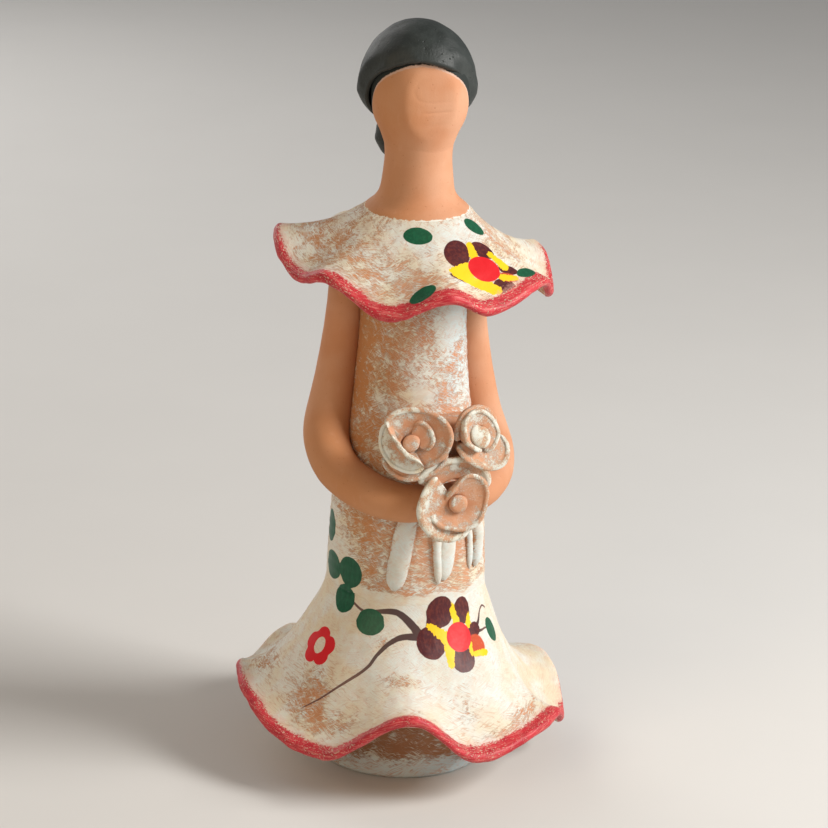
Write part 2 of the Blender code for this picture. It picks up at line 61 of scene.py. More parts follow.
def smoothCurve(stations, x):
    # smooth line through (x, value) stations, level beyond both ends
    xs, ys = np.array(stations, float).T
    slopes = np.empty_like(ys)
    slopes[1:-1] = (ys[2:] - ys[:-2]) / (xs[2:] - xs[:-2])
    slopes[0] = (ys[1] - ys[0]) / (xs[1] - xs[0])
    slopes[-1] = (ys[-1] - ys[-2]) / (xs[-1] - xs[-2])
    x = np.clip(x, xs[0], xs[-1])
    i = np.clip(np.searchsorted(xs, x, side="right") - 1, 0, len(xs) - 2)
    span = xs[i + 1] - xs[i]
    t = (x - xs[i]) / span
    start = ys[i] * (2 * t**3 - 3 * t**2 + 1) + slopes[i] * span * (t**3 - 2 * t**2 + t)
    return start + ys[i + 1] * (3 * t**2 - 2 * t**3) + slopes[i + 1] * span * (t**3 - t**2)


def ringCurve(stations, bearing):
    # eased from crest to trough, all the way round
    xs, ys = np.array(stations, float).T
    xs, ys = np.append(xs, xs[0] + 360), np.append(ys, ys[0])
    x = (bearing - xs[0]) % 360 + xs[0]
    i = np.clip(np.searchsorted(xs, x, side="right") - 1, 0, len(xs) - 2)
    ease = (1 - np.cos(np.pi * (x - xs[i]) / (xs[i + 1] - xs[i]))) / 2
    return ys[i] + (ys[i + 1] - ys[i]) * ease


def atBearing(radius, bearing, height):
    angle = np.radians(bearing)
    radius, angle, height = np.broadcast_arrays(radius, angle, height)
    return np.stack([radius * np.sin(angle), -radius * np.cos(angle), height], -1).astype(float)


def lumps(points, grain, seed=0.0):
    # smooth noise from -1 to 1, the same each run; grain is the size of a lump
    cell = points / grain + seed * 7.31
    low = np.floor(cell).astype(np.int64)
    t = cell - low
    t = t * t * (3 - 2 * t)
    total = np.zeros(points.shape[:-1])
    for corner in range(8):
        step = np.array([corner & 1, corner >> 1 & 1, corner >> 2 & 1])
        at = low + step
        mixed = at[..., 0] * 73856093 ^ at[..., 1] * 19349663 ^ at[..., 2] * 83492791
        mixed = (mixed * 2654435761 >> 7) & 65535
        total += np.prod(np.where(step, t, 1 - t), -1) * (mixed / 32767.5 - 1)
    return total


def easeIn(low, high, x):
    t = np.clip((x - low) / (high - low), 0, 1)
    return t * t * (3 - 2 * t)


def unit(v):
    return v / np.maximum(np.linalg.norm(v, axis=-1, keepdims=True), 1e-9)


def around(count, whole=360.0):
    return np.linspace(0, whole, count, endpoint=False)


def signed(bearing):
    # from -180 to 180
    return (bearing + 180) % 360 - 180


def turnedAbout(x, y, z, degrees):
    t = math.radians(degrees)
    return np.stack([x * math.cos(t) - y * math.sin(t), x * math.sin(t) + y * math.cos(t), z], -1)


def fromFrame(frameAt, local):
    origin, right, up, out = frameAt
    return origin + local[..., :1] * right + local[..., 1:2] * up + local[..., 2:] * out


def layered(points, layers):
    # layers of lumps, each (height, grain, seed)
    return sum(high * lumps(points, grain, seed) for high, grain, seed in layers)


def swollen(points, away, layers, share=1.0):
    return points + away * (layered(points, layers) * share)[..., None]


def laidOnColumn(reach, bearing, height):
    # a line on the column's wall, with the directions away from the wall and across the line
    centre = atBearing(reach, bearing, height)
    tangent = unit(np.gradient(centre, axis=0))
    across = unit(np.cross(tangent, atBearing(1.0, bearing, 0 * height)))
    away = unit(np.cross(across, tangent))
    return centre[:, None], away[:, None], across[:, None]


def gridNormals(points, looped):
    across = np.roll(points, -1, 1) - np.roll(points, 1, 1)
    if looped:
        along = np.roll(points, -1, 0) - np.roll(points, 1, 0)
    else:
        along = np.gradient(points, axis=0)
    return unit(np.cross(across, along))


def pieceFromGrid(name, points, finish, nodes, looped=False, marks=None):
    # rows of equal rings; a looped piece joins its last row to its first, another gets a point at each end
    rows, count = points.shape[:2]
    corners = points.reshape(-1, 3)
    index = np.arange(rows * count).reshape(rows, count)
    nextRow = np.roll(index, -1, 0) if looped else index[1:]
    thisRow = index if looped else index[:-1]
    quads = np.stack([thisRow, np.roll(thisRow, -1, 1), np.roll(nextRow, -1, 1), nextRow], -1)
    quads = quads.reshape(-1, 4)
    faces = quads.tolist()
    if not looped:
        corners = np.vstack([corners, points[0].mean(0), points[-1].mean(0)])
        first, last = rows * count, rows * count + 1
        for k in range(count):
            j = (k + 1) % count
            faces.append([first, int(index[0, j]), int(index[0, k])])
            faces.append([last, int(index[-1, k]), int(index[-1, j])])
    a, b, c, d = (corners[quads[:, k]] for k in range(4))
    if (a * (np.cross(b, c) + np.cross(c, d))).sum() < 0:  # its volume is negative when it is inside out
        faces = [face[::-1] for face in faces]
    mesh = bpy.data.meshes.new(name)
    mesh.from_pydata((corners * mm).tolist(), [], faces)
    for mark, values in (marks or {}).items():
        values = np.asarray(values, float)
        wide = values.ndim == 3
        flat = values.reshape(rows * count, -1)
        if not looped:
            ends = [values[row].reshape(count, -1).mean(0) for row in (0, -1)]
            flat = np.vstack([flat, *ends])
        layer = mesh.attributes.new(mark, "FLOAT_VECTOR" if wide else "FLOAT", "POINT")
        layer.data.foreach_set("vector" if wide else "value", flat.astype(np.float32).ravel())
    mesh.shade_smooth()
    mesh.materials.append(finish)
    piece = bpy.data.objects.new(name, mesh)
    bpy.context.scene.collection.objects.link(piece)
    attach(piece, "root")
    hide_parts(*nodes)
    return piece


def rowLength(points):
    # distance along each column of the grid, from its first row
    steps = np.linalg.norm(np.diff(points, axis=0), axis=-1)
    return np.vstack([np.zeros((1, points.shape[1])), np.cumsum(steps, 0)])


def brushMarks(points, bearing, radius):
    # the painter's own coordinates: round a drum of one radius and along the section
    length = rowLength(points)
    turn = np.radians(np.broadcast_to(bearing, length.shape))
    return np.stack([radius * np.sin(turn), -radius * np.cos(turn), length], -1)


class Wire:
    # one socket in plain expressions
    def __init__(self, finish, socket):
        self.finish = finish
        self.socket = socket

    def math(self, operation, *others):
        sockets = dict(enumerate((self, *others)))
        return self.finish.node("ShaderNodeMath", {"operation": operation}, sockets)

    def __add__(self, other):
        return self.math("ADD", other)

    def __sub__(self, other):
        return self.math("SUBTRACT", other)

    def __rsub__(self, other):
        return self.finish.node("ShaderNodeMath", {"operation": "SUBTRACT"}, {0: other, 1: self})

    def __mul__(self, other):
        return self.math("MULTIPLY", other)

    def __abs__(self):
        return self.math("ABSOLUTE")

    __radd__ = __add__
    __rmul__ = __mul__

    def higher(self, other):
        return self.math("MAXIMUM", other)

    def ease(self, low, high):
        # 0 below low, 1 above high; give low over high for the reverse
        if low > high:
            return 1.0 - self.ease(high, low)
        sockets = {"Value": self, "From Min": low, "From Max": high}
        return self.finish.node("ShaderNodeMapRange", {"interpolation_type": "SMOOTHSTEP"}, sockets)


class Finish:
    # one material, with its Principled shader
    def __init__(self, name, roughness=0.7, specular=0.4):
        self.material = bpy.data.materials.new(name)
        self.material.use_nodes = True
        self.tree = self.material.node_tree
        self.shader = self.tree.nodes["Principled BSDF"]
        self.shader.inputs["Roughness"].default_value = roughness
        self.shader.inputs["Specular IOR Level"].default_value = specular

    def put(self, socket, value):
        if isinstance(value, Wire):
            self.tree.links.new(value.socket, socket)
        elif isinstance(value, (tuple, list)) and len(value) == 3 and socket.type == "RGBA":
            socket.default_value = (*value, 1.0)
        else:
            socket.default_value = value

    def node(self, kind, settings=None, sockets=None, out=0):
        made = self.tree.nodes.new(kind)
        for key, value in (settings or {}).items():
            setattr(made, key, value)
        for key, value in (sockets or {}).items():
            self.put(made.inputs[key], value)
        return Wire(self, made.outputs[out])

    def mark(self, name, out="Fac"):
        return self.node("ShaderNodeAttribute", {"attribute_name": name}, {}, out)

    def place(self):
        # position in millimetres
        spot = self.node("ShaderNodeTexCoord", {}, {}, "Object")
        return self.node("ShaderNodeVectorMath", {"operation": "SCALE"}, {"Vector": spot, "Scale": 1 / mm})

    def grain(self, where, size, detail=2.0, roughness=0.5, out="Fac"):
        # noise whose lumps are about this many millimetres across
        sockets = {"Vector": where, "Scale": 1 / size, "Detail": detail, "Roughness": roughness}
        return self.node("ShaderNodeTexNoise", {"noise_dimensions": "3D"}, sockets, out)

    def spots(self, where, size):
        sockets = {"Vector": where, "Scale": 1 / size}
        return self.node("ShaderNodeTexVoronoi", {"feature": "F1"}, sockets, "Distance")

    def stretch(self, where, by):
        return self.node("ShaderNodeVectorMath", {"operation": "MULTIPLY"}, {0: where, 1: by})

    def shift(self, where, by):
        return self.node("ShaderNodeVectorMath", {"operation": "ADD"}, {0: where, 1: (by, -by, 0.6 * by)})

    def mix(self, share, first, second):
        settings = {"data_type": "RGBA", "clamp_factor": True}
        return self.node("ShaderNodeMix", settings, {"Factor": share, 6: first, 7: second}, 2)

    def axis(self, where, name):
        return self.node("ShaderNodeSeparateXYZ", {}, {0: where}, name)

    def colour(self, value):
        self.put(self.shader.inputs["Base Color"], value)

    def roughness(self, roughness):
        self.put(self.shader.inputs["Roughness"], roughness)

    def bump(self, height, depth, strength=1.0):
        # height 0 to 1 stands depth millimetres proud
        sockets = {"Height": height, "Distance": depth * mm, "Strength": strength}
        self.put(self.shader.inputs["Normal"], self.node("ShaderNodeBump", {}, sockets))


cameraView = {
    "azimuth": -19.5, "elevation": 19.5, "roll": 1.8, "distance": 1200.0, "target": (0, 0, 125.0),
    "lens": 160.67, "sensor": 36.0, "clip": (0.01, 20.0), "shift": (0.0036, -0.0272),
}


def makeCamera():
    a, e = math.radians(cameraView["azimuth"]), math.radians(cameraView["elevation"])
    back = Vector((math.sin(a) * math.cos(e), -math.cos(a) * math.cos(e), math.sin(e)))
    data = bpy.data.cameras.new("camera")
    data.lens = cameraView["lens"]
    data.sensor_width = cameraView["sensor"]
    data.shift_x, data.shift_y = cameraView["shift"]
    data.clip_start, data.clip_end = cameraView["clip"]
    camera = bpy.data.objects.new("camera", data)
    roll = Matrix.Rotation(math.radians(cameraView["roll"]), 3, "Z")
    turn = (-back).to_track_quat("-Z", "Y").to_matrix() @ roll
    spot = Vector(cameraView["target"]) * mm + back * cameraView["distance"] * mm
    camera.matrix_world = Matrix.Translation(spot) @ turn.to_4x4()
    bpy.context.scene.collection.objects.link(camera)
    bpy.context.scene.camera = camera


scrub = {  # strokes run round the drum, each set tipped about an axis by some degrees
    "slants": (((0, 1, 0), 36), ((0, 1, 0), -24), ((1, 0, 0), 38), ((0.7, 0.7, 0), -46)), "bristle": 0.26,
    "strokeLong": 4.0, "patch": 2.8, "middle": 0.645, "contrast": 1.9, "scratchThin": 0.12,
    "scratchEdge": (0.028, 0.013),
}
clayPaints = {
    "clay": (0.58, 0.265, 0.138), "clayDeep": (0.42, 0.155, 0.058), "clayPale": (0.66, 0.375, 0.240),
    # the ochre below also serves as painted shade, and the shade colour is painted shade
    "ochre": (0.50, 0.215, 0.072), "clayShade": (0.24, 0.095, 0.036), "cream": (0.74, 0.66, 0.49),
    # the bluish white below is painted cool light
    "white": (0.74, 0.74, 0.66), "cool": (0.58, 0.71, 0.75), "coral": (0.56, 0.030, 0.042),
    "crimson": (0.40, 0.010, 0.024), "salmon": (0.70, 0.17, 0.15), "blush": (0.72, 0.38, 0.31),
    "leaf": (0.010, 0.112, 0.050), "leafDeep": (0.006, 0.074, 0.034), "maroon": (0.070, 0.011, 0.014),
    "petalBrown": (0.130, 0.024, 0.018), "yellow": (0.90, 0.58, 0.010), "orange": (0.56, 0.075, 0.022),
    "red": (0.68, 0.010, 0.016), "branch": (0.045, 0.009, 0.011), "branchPale": (0.20, 0.080, 0.060),
    # the pale hair grey below is painted glints
    "hair": (0.019, 0.024, 0.022), "hairPale": (0.036, 0.043, 0.040), "hairGlint": (0.16, 0.18, 0.17),
}


def bareClay(finish, where):
    # colour of the fired clay: cloudy, with pale dust and darker scuffs
    p = clayPaints
    clouds = finish.grain(where, 13.0, 2.0, 0.5)
    speckle = finish.grain(where, 0.5, 3.0, 0.7)
    base = finish.mix(clouds.ease(0.30, 0.72) * 0.6, p["clay"], p["clayPale"])
    base = finish.mix(speckle.ease(0.58, 0.74) * 0.35, base, p["clayDeep"])
    return base


def tippedBrush(finish, brush, slant, thin):
    # the painter's coordinates tipped and flattened, so grain in them runs in long thin strokes
    axis, degrees = slant
    tipped = finish.node("ShaderNodeVectorRotate", {"rotation_type": "AXIS_ANGLE"},
                         {"Vector": brush, "Axis": axis, "Angle": math.radians(degrees)})
    return finish.stretch(tipped, (thin, thin, 1.0))


def brushStrokes(finish, brush):
    # how thick the dry paint lies: streaky patches, each brushed its own way, about 0.5 on average
    layers = []
    for i, slant in enumerate(scrub["slants"]):
        tipped = tippedBrush(finish, brush, slant, scrub["bristle"] / scrub["strokeLong"])
        streak = finish.grain(tipped, scrub["bristle"], 2.0, 0.6)
        patch = finish.grain(finish.shift(brush, 17.0 * i + 3.0), scrub["patch"], 2.0, 0.6)
        layers.append(streak + (patch - 0.5) * 0.9)
    return (reduce(Wire.higher, layers) - scrub["middle"]) * scrub["contrast"] + 0.5


def hairLines(finish, brush, slants, seed):
    # single bristle scratches: where a stretched grain crosses its middle
    lines = []
    for i, slant in enumerate(slants):
        moved = finish.shift(brush, seed + 13.0 * i)
        grain = finish.grain(tippedBrush(finish, moved, slant, scrub["scratchThin"]), 1.0, 1.0, 0.4)
        line = abs(grain - 0.5).ease(*scrub["scratchEdge"])
        lines.append(line * finish.grain(moved, 3.0, 2.0).ease(0.44, 0.56))
    return reduce(Wire.higher, lines)


def giveWay(old, share, new):
    # old where share is 0, new where it is 1
    return old * (1.0 - share) + share * new


def scrubbedCoat(f, where, brush):
    # off-white paint scrubbed over the clay; gives colour, height and roughness
    p = clayPaints
    strokes = brushStrokes(f, brush)
    patches = f.grain(where, 8.0, 2.0, 0.5)
    specks = f.spots(where, 0.55)
    cover = f.mark("cover")
    level = strokes + (patches - 0.5) * 0.8 + cover
    scratches = hairLines(f, brush, scrub["slants"][:2], 5.0) * cover.ease(0.9, 0.35)
    wisps = hairLines(f, brush, scrub["slants"][1:], 47.0) * level.ease(-0.15, 0.25) * 0.85
    solid = level.ease(0.46, 0.53).higher(wisps) * (1.0 - scratches * 0.55)
    veil = level.ease(0.24, 0.46) * 0.34  # thin paint left in the grain
    # ochre clay, deepened as painted shade on the side away from the key light
    clay = f.mix(f.mark("ochre"), bareClay(f, where), p["ochre"])
    # painted shade: darker clay under the flounce's arch
    clay = f.mix(f.mark("shade"), clay, p["clayShade"])
    paint = f.mix(f.grain(where, 9.0, 2.0, 0.5).ease(0.35, 0.65), p["cream"], p["white"])
    # bluish white towards the key light: painted cool light
    paint = f.mix(f.mark("cool"), paint, p["cool"])
    paint = f.mix(strokes.ease(0.60, 0.30) * 0.20, paint, p["clayPale"])
    pits = specks.ease(0.16, 0.08) * f.grain(where, 3.1).ease(0.58, 0.64)
    colour = f.mix(pits * 0.8, f.mix(solid.higher(veil), clay, paint), p["clayDeep"])
    return colour, solid * 0.5 + strokes * 0.35 - pits * 0.7, 0.80 - solid * 0.16


def motifCoat(f, where, colour, height, rough):
    # branches, twigs, flowers and leaves; also gives the leaves' share and colour
    p = clayPaints
    wobble = (f.grain(where, 1.5, 3.0, 0.6) - 0.5) * 0.9
    streak = f.grain(f.stretch(where, (1.0, 1.0, 0.45)), 0.9, 3.0, 0.55)

    def dab(mark, wander, low, high):
        return (f.mark(mark) + wobble * wander).ease(low, high)

    lines, pales = [], []
    for key in lineKeys:
        run = f.mark(key, "Vector")
        side, along, depth = (f.axis(run, name) for name in ("X", "Y", "Z"))
        line = abs(side + wobble * 0.35).ease(1.08, 0.86) * along.ease(-0.01, 0.01) * along.ease(1.02, 0.98)
        lines.append(line * depth.ease(-9.0, -7.0))
        pales.append(lines[-1] * along.ease(0.30, 0.62))
    line, pale = reduce(Wire.higher, lines), reduce(Wire.higher, pales)
    colour = f.mix(line * 0.94, colour, f.mix(pale * 0.55, p["branch"], p["branchPale"]))
    petal = dab("petalPaint", 0.4, 0.12, -0.06)
    colour = f.mix(petal, colour, f.mix(streak.ease(0.40, 0.72), p["maroon"], p["petalBrown"]))
    orange = dab("orangePaint", 0.5, 0.3, -0.3)
    colour = f.mix(orange * streak.ease(0.05, 0.40), colour, p["orange"])
    yellow = (f.mark("yellowPaint") + wobble * 0.8 + (streak - 0.5) * 1.6).ease(0.14, -0.1)
    colour = f.mix(yellow, colour, p["yellow"])
    leaf = dab("leafPaint", 0.35, 0.1, -0.06)
    leafTone = f.mix(streak.ease(0.30, 0.75), p["leafDeep"], p["leaf"])
    colour = f.mix(leaf, colour, leafTone)
    red = dab("redPaint", 0.3, 0.1, -0.06)
    colour = f.mix(red, colour, p["red"])
    dabs = reduce(Wire.higher, (line, petal, yellow, leaf, red))
    height = giveWay(height, dabs, 0.75 + streak * 0.25)
    return colour, height, giveWay(rough, dabs, 0.42), leaf, leafTone


def rimCoat(f, brush, colour, height, rough):
    # the red edge: ragged towards the middle, dry-brushed and worn, with cream specks gathered on its ridge
    # as a painted highlight
    p = clayPaints
    fromRim = f.mark("fromRim")
    fromBand = fromRim - f.mark("band")
    ragged = (f.grain(brush, 0.55, 3.0, 0.7) - 0.5) * 3.2 + (f.grain(brush, 4.5, 1.0) - 0.5) * 2.4
    edge = (fromBand + ragged).ease(0.35, -0.35) * fromRim.ease(-5.9, -5.1)
    feather = (fromBand + ragged * 2.2).ease(2.6, 0.0) * fromRim.ease(-6.5, -5.0)
    colour = f.mix(feather * 0.42, colour, p["blush"])
    streaks = f.grain(f.stretch(brush, (0.18, 0.18, 1.6)), 0.5, 3.0, 0.6)
    redTone = f.mix(f.grain(brush, 3.2, 3.0, 0.6).ease(0.40, 0.62) * 0.75, p["coral"], p["crimson"])
    redTone = f.mix(streaks.ease(0.48, 0.66) * 0.8, redTone, p["salmon"])
    dry = f.grain(f.stretch(brush, (0.7, 0.7, 1.0)), 0.42, 2.0, 0.7)
    # painted highlight: cream specks gathered along the ridge
    ridgeHighlight = fromRim.ease(-2.3, -0.8) * fromRim.ease(2.2, 0.6)
    chips = fromBand.ease(-1.6, 0.2) * 0.10
    worn = (dry + ridgeHighlight * 0.04 + chips + f.mark("worn") * 0.10).ease(0.66, 0.74)
    colour = f.mix(edge, colour, f.mix(worn * 0.7, redTone, p["cream"]))
    height = giveWay(height, edge, 0.85 - streaks * 0.35 - worn * 0.4)
    return colour, height, giveWay(rough, edge, 0.48)


def paintedDress(name, motifs=False, rim=False):
    f = Finish(name, specular=0.35)
    where = f.place()
    brush = f.mark("brush", "Vector")
    colour, height, rough = scrubbedCoat(f, where, brush)
    if motifs:
        colour, height, rough, leaf, leafTone = motifCoat(f, where, colour, height, rough)
    if rim:
        colour, height, rough = rimCoat(f, brush, colour, height, rough)
        colour = f.mix(leaf, colour, leafTone)  # a leaf was painted over the red edge
    f.colour(colour)
    f.roughness(rough)
    f.bump(height, 0.22, 0.9)
    return f.material


def smoothClay(name, neckline=False, hoodEdge=False):
    # burnished by hand while damp
    f = Finish(name, specular=0.3)
    p = clayPaints
    where = f.place()
    base = bareClay(f, where)
    # painted shade: the clay turns duller and browner on the side away from the key light
    shadeSide = f.axis(where, "X").ease(4.0, -16.0) * f.axis(where, "Y").ease(12.0, -4.0)
    base = f.mix(shadeSide * 0.55, base, p["ochre"])  # duller and browner towards its right hand
    wipes = f.grain(f.stretch(where, (1.0, 1.0, 0.35)), 2.2, 3.0, 0.6)
    base = f.mix(wipes.ease(0.55, 0.75) * 0.18, base, p["clayPale"])
    height = wipes * 0.35 + f.grain(where, 0.6, 3.0, 0.65) * 0.35
    rough = 0.66 + f.grain(where, 4.0) * 0.18
    pits = f.spots(where, 2.4).ease(0.10, 0.05)
    height = height - pits * 0.6
    base = f.mix(pits * 0.6, base, p["clayDeep"])
    if neckline:
        ragged = (f.grain(where, 1.6, 3.0, 0.65) - 0.5) * 1.6
        paint = (f.axis(where, "Z") + ragged).ease(collarRoot + 0.95, collarRoot + 0.75)
        # the neckline paint is whiter towards the key light, as painted light
        base = f.mix(paint, base, f.mix(f.mark("cool"), p["cream"], p["white"]))
        height = height + paint * 0.4
    if hoodEdge:
        line = f.mark("hoodEdge") + (f.grain(where, 0.8, 3.0, 0.7) - 0.5) * 1.1
        pale = line.ease(2.4, 2.0)
        dark = line.ease(1.6, 1.3)
        base = f.mix(pale * 0.6, base, (0.62, 0.47, 0.40))
        base = f.mix(dark, base, p["hair"])
        height = height + dark * 0.5
    f.colour(base)
    f.roughness(rough)
    f.bump(height, 0.14, 0.8)
    return f.material


def satinHair(name):
    # brushed charcoal paint, pocked, with small pale grey spots painted in as glints
    f = Finish(name, specular=0.45)
    p = clayPaints
    where = f.place()
    clouds = f.grain(where, 6.0, 2.0, 0.5)
    fine = f.grain(where, 0.6, 3.0, 0.65)
    drag = f.grain(f.stretch(where, (1.0, 1.0, 0.25)), 0.9, 2.0, 0.6)
    pocks = f.spots(where, 1.9).ease(0.22, 0.10) * f.grain(where, 4.5).ease(0.50, 0.60)
    # painted glints: small pale spots
    glints = f.spots(f.stretch(where, (1.0, 1.0, 0.7)), 2.6).ease(0.10, 0.04)
    glints = glints * f.grain(where, 4.0).ease(0.5, 0.6)
    tone = f.mix(clouds.ease(0.38, 0.66) * 0.6 + drag.ease(0.5, 0.75) * 0.4, p["hair"], p["hairPale"])
    f.colour(f.mix(glints * 0.7, tone, p["hairGlint"]))
    f.roughness(0.42 + fine * 0.24)
    f.bump(fine * 0.4 + drag * 0.3 - pocks * 0.9 + clouds * 0.5, 0.32, 0.85)
    return f.material


def wipedRose(name):
    # white paint wiped over the rolled strips, caught on their rims
    f = Finish(name, specular=0.3)
    p = clayPaints
    where = f.place()
    clay = bareClay(f, where)
    rub = f.grain(where, 0.42, 4.0, 0.78)
    cloth = f.grain(where, 3.4, 2.0)
    level = rub + (cloth - 0.5) * 0.8 + f.mark("wipe") * 0.27
    white = level.ease(0.63, 0.70)
    veil = level.ease(0.44, 0.66) * 0.30
    paint = f.mix(cloth.ease(0.35, 0.65), p["cream"], p["white"])
    crumbs = f.grain(where, 0.35, 2.0, 0.6).ease(0.63, 0.7)
    colour = f.mix(white.higher(veil), clay, paint)
    colour = f.mix(crumbs * white * 0.55, colour, (0.22, 0.20, 0.17))
    # painted shade: darker clay deep in the bowls, down the outer walls, under the bud and on the hidden
    # wad
    colour = f.mix(f.mark("deep"), colour, p["clayDeep"])
    f.colour(colour)
    f.roughness(0.78 - white * 0.12)
    f.bump(white * 0.4 + rub * 0.8, 0.25, 0.9)
    return f.material


def tangentFrame(bearing, radius, height, lean, turn=0.0):
    # flat frame on the surface: spot, east, up and outward; lean is how far the surface looks up
    b, e = math.radians(bearing + turn), math.radians(lean)
    out = np.array([math.sin(b) * math.cos(e), -math.cos(b) * math.cos(e), math.sin(e)])
    east = np.array([math.cos(b), math.sin(b), 0.0])
    return atBearing(radius, bearing, height), east, np.cross(out, east), out


def inFrame(points, where):
    spot, east, up, out = where
    away = points - spot
    return away @ east, away @ up, away @ out


def ovalMark(u, v, oval):
    cu, cv, half, high, turn = oval
    a = math.radians(turn)
    x = (u - cu) * math.cos(a) + (v - cv) * math.sin(a)
    y = (v - cv) * math.cos(a) - (u - cu) * math.sin(a)
    return (np.sqrt((x / half) ** 2 + (y / high) ** 2) - 1) * min(half, high)


def strokeMark(u, v, stroke):
    u0, v0, u1, v1, thick0, thick1 = stroke
    run = np.array([u1 - u0, v1 - v0])
    t = np.clip(((u - u0) * run[0] + (v - v0) * run[1]) / (run @ run), 0, 1)
    return np.hypot(u - u0 - t * run[0], v - v0 - t * run[1]) - (thick0 + (thick1 - thick0) * t)


def lineMark(points, where, route, widths):
    # signed sideways distance in half widths, share of the way along, and depth below the frame
    u, v, w = inFrame(points, where)
    shape = u.shape
    fine = np.linspace(0, 1, 160)
    knots = np.linspace(0, 1, len(route))
    path = np.stack([smoothCurve(list(zip(knots, line)), fine) for line in zip(*route)], -1)
    spot = np.stack([u.ravel(), v.ravel()], -1)
    side, share = np.empty(len(spot)), np.empty(len(spot))
    run = np.gradient(path, axis=0)
    run /= np.linalg.norm(run, axis=1, keepdims=True)
    length = np.append(0, np.cumsum(np.linalg.norm(np.diff(path, axis=0), axis=1)))
    for start in range(0, len(spot), 4000):  # in blocks, to save memory
        block = slice(start, start + 4000)
        part = spot[block]
        away = part[:, None] - path[None]
        near = np.argmin((away**2).sum(-1), 1)
        pick = away[np.arange(len(part)), near]
        on = run[near]
        side[block] = on[:, 0] * pick[:, 1] - on[:, 1] * pick[:, 0]
        share[block] = (length[near] + (pick * on).sum(1)) / length[-1]
    half = smoothCurve(widths, np.clip(share, 0, 1)) / 2
    return np.stack([side.reshape(shape) / half.reshape(shape), share.reshape(shape), w], -1)


skirtFlower = {
    "frame": (16.9, 30.5, 49.5, 28.4, 0.0), "red": [(0.5, 0.0, 4.8, 4.9, 12)],
    "petals": [
        (-4.7, 9.4, 4.8, 4.9, 0), (3.6, 8.2, 3.5, 4.4, -8), (-9.7, 0.4, 4.8, 5.5, 0),
        (0.1, -7.6, 4.6, 4.1, 0), (7.4, 1.2, 2.9, 2.4, 20),
    ],
    "orange": [(6.9, -4.0, 3.9, 3.6, -30)],
    "yellow": [
        (-9.4, 6.1, -4.4, 0.6, 1.0, 2.1), (-0.3, 10.9, 0.6, 4.4, 0.7, 1.4), (6.6, 7.2, 5.2, 3.4, 0.6, 1.2),
        (-4.4, -3.0, -4.9, -8.4, 1.9, 1.1), (5.4, -6.6, 10.2, -7.0, 1.0, 1.2),
        (4.4, -3.0, 3.9, -6.6, 0.8, 0.6),
    ],
}
collarFlower = {
    "frame": (21.1, 33.3, 175.5, 51.7, -7.0), "red": [(0.1, 0.0, 5.4, 4.8, -20)],
    "petals": [
        (-6.7, 7.0, 5.8, 4.3, 50), (3.0, 7.0, 4.1, 3.0, -42), (8.6, -1.7, 3.4, 1.8, -20),
        (4.1, -7.7, 3.8, 3.2, -20), (-10.3, -2.4, 3.8, 0.9, -30),
    ],
    "orange": [(6.8, -4.4, 3.6, 1.8, -20)],
    "yellow": [
        (-12.2, 0.7, -5.4, 0.8, 1.0, 2.7), (-11.2, -0.8, -1.5, -6.4, 1.3, 2.2),
        (-0.5, 9.6, -1.3, 4.4, 1.2, 1.6), (5.0, 5.2, 7.8, -0.2, 1.0, 1.5), (4.8, -4.1, 9.6, -5.2, 1.4, 1.0),
        (-0.6, -7.4, 1.0, -8.2, 2.3, 1.7),
    ],
}
skirtLeaves = [  # bearing, radius, height, lean, half width, half height, turn
    (-42.6, 27.9, 54.3, 26, 5.0, 4.3, 0), (-67.4, 26.2, 59.1, 3, 4.6, 4.6, 0),
    (-63.9, 25.7, 68.6, 3, 5.1, 5.2, 0), (-86.7, 25.8, 67.8, 3, 5.6, 4.7, 0),
    (-95.0, 25.2, 80.2, 3, 4.4, 5.4, 0), (49.9, 31.7, 47.4, 28, 3.0, 4.3, 15),
]
collarLeaves = [
    (-17.7, 21.4, 184.4, 57, 4.6, 3.3, -6), (40.9, 21.2, 184.8, 57, 2.9, 3.8, 18),
    (-15.6, 40.6, 171.5, 50, 4.6, 2.3, 32), (42.6, 40.0, 173.0, 60, 4.2, 2.0, -12),
]
branches = {
    "frame": (-44.4, 31.6, 47.4, 28.6, -1.1),
    "upperBranch": ([
        (17.5, 6.9), (14.4, 9.6), (11.9, 11.5), (8.5, 12.8), (3.4, 11.8), (-1.5, 10.8), (-5.4, 12.3),
        (-8.6, 15.0), (-10.5, 18.8), (-12.7, 21.4),
    ], [(0, 3.0), (0.25, 2.2), (0.45, 1.4), (0.6, 0.9), (1, 0.7)]),
    "lowerBranch": ([
        (17.5, 7.0), (12.1, 5.4), (8.5, 2.2), (5.8, -2.1), (4.0, -6.2), (0.9, -9.8), (-4.1, -14.5),
        (-10.0, -20.0), (-15.6, -24.2),
    ], [(0, 2.9), (0.12, 2.0), (0.3, 1.3), (0.6, 0.95), (1, 0.35)]),
}
twigs = {
    "frame": (38.0, 30.0, 50.0, 28.0, 0.0),
    "upperTwig": (
        [(-3.4, 0.4), (-0.6, 1.6), (1.0, 3.2), (2.6, 5.2), (5.2, 5.9), (6.6, 4.6)],
        [(0, 1.9), (0.4, 0.9), (1, 0.6)],
    ),
    "lowerTwig": ([(-3.6, -0.6), (0.0, -1.2), (2.6, -1.2), (4.8, -1.8)], [(0, 1.6), (0.5, 0.8), (1, 0.6)]),
}
smallFlower = {
    "frame": (-73.0, 34.2, 43.1, 28.0, 4.0), "reach": 5.9, "lobe": 1.1, "lobes": 5, "turn": 96,
    "squash": 1.06, "eye": (0.0, 0.3, 2.5, 2.9, 0),
}


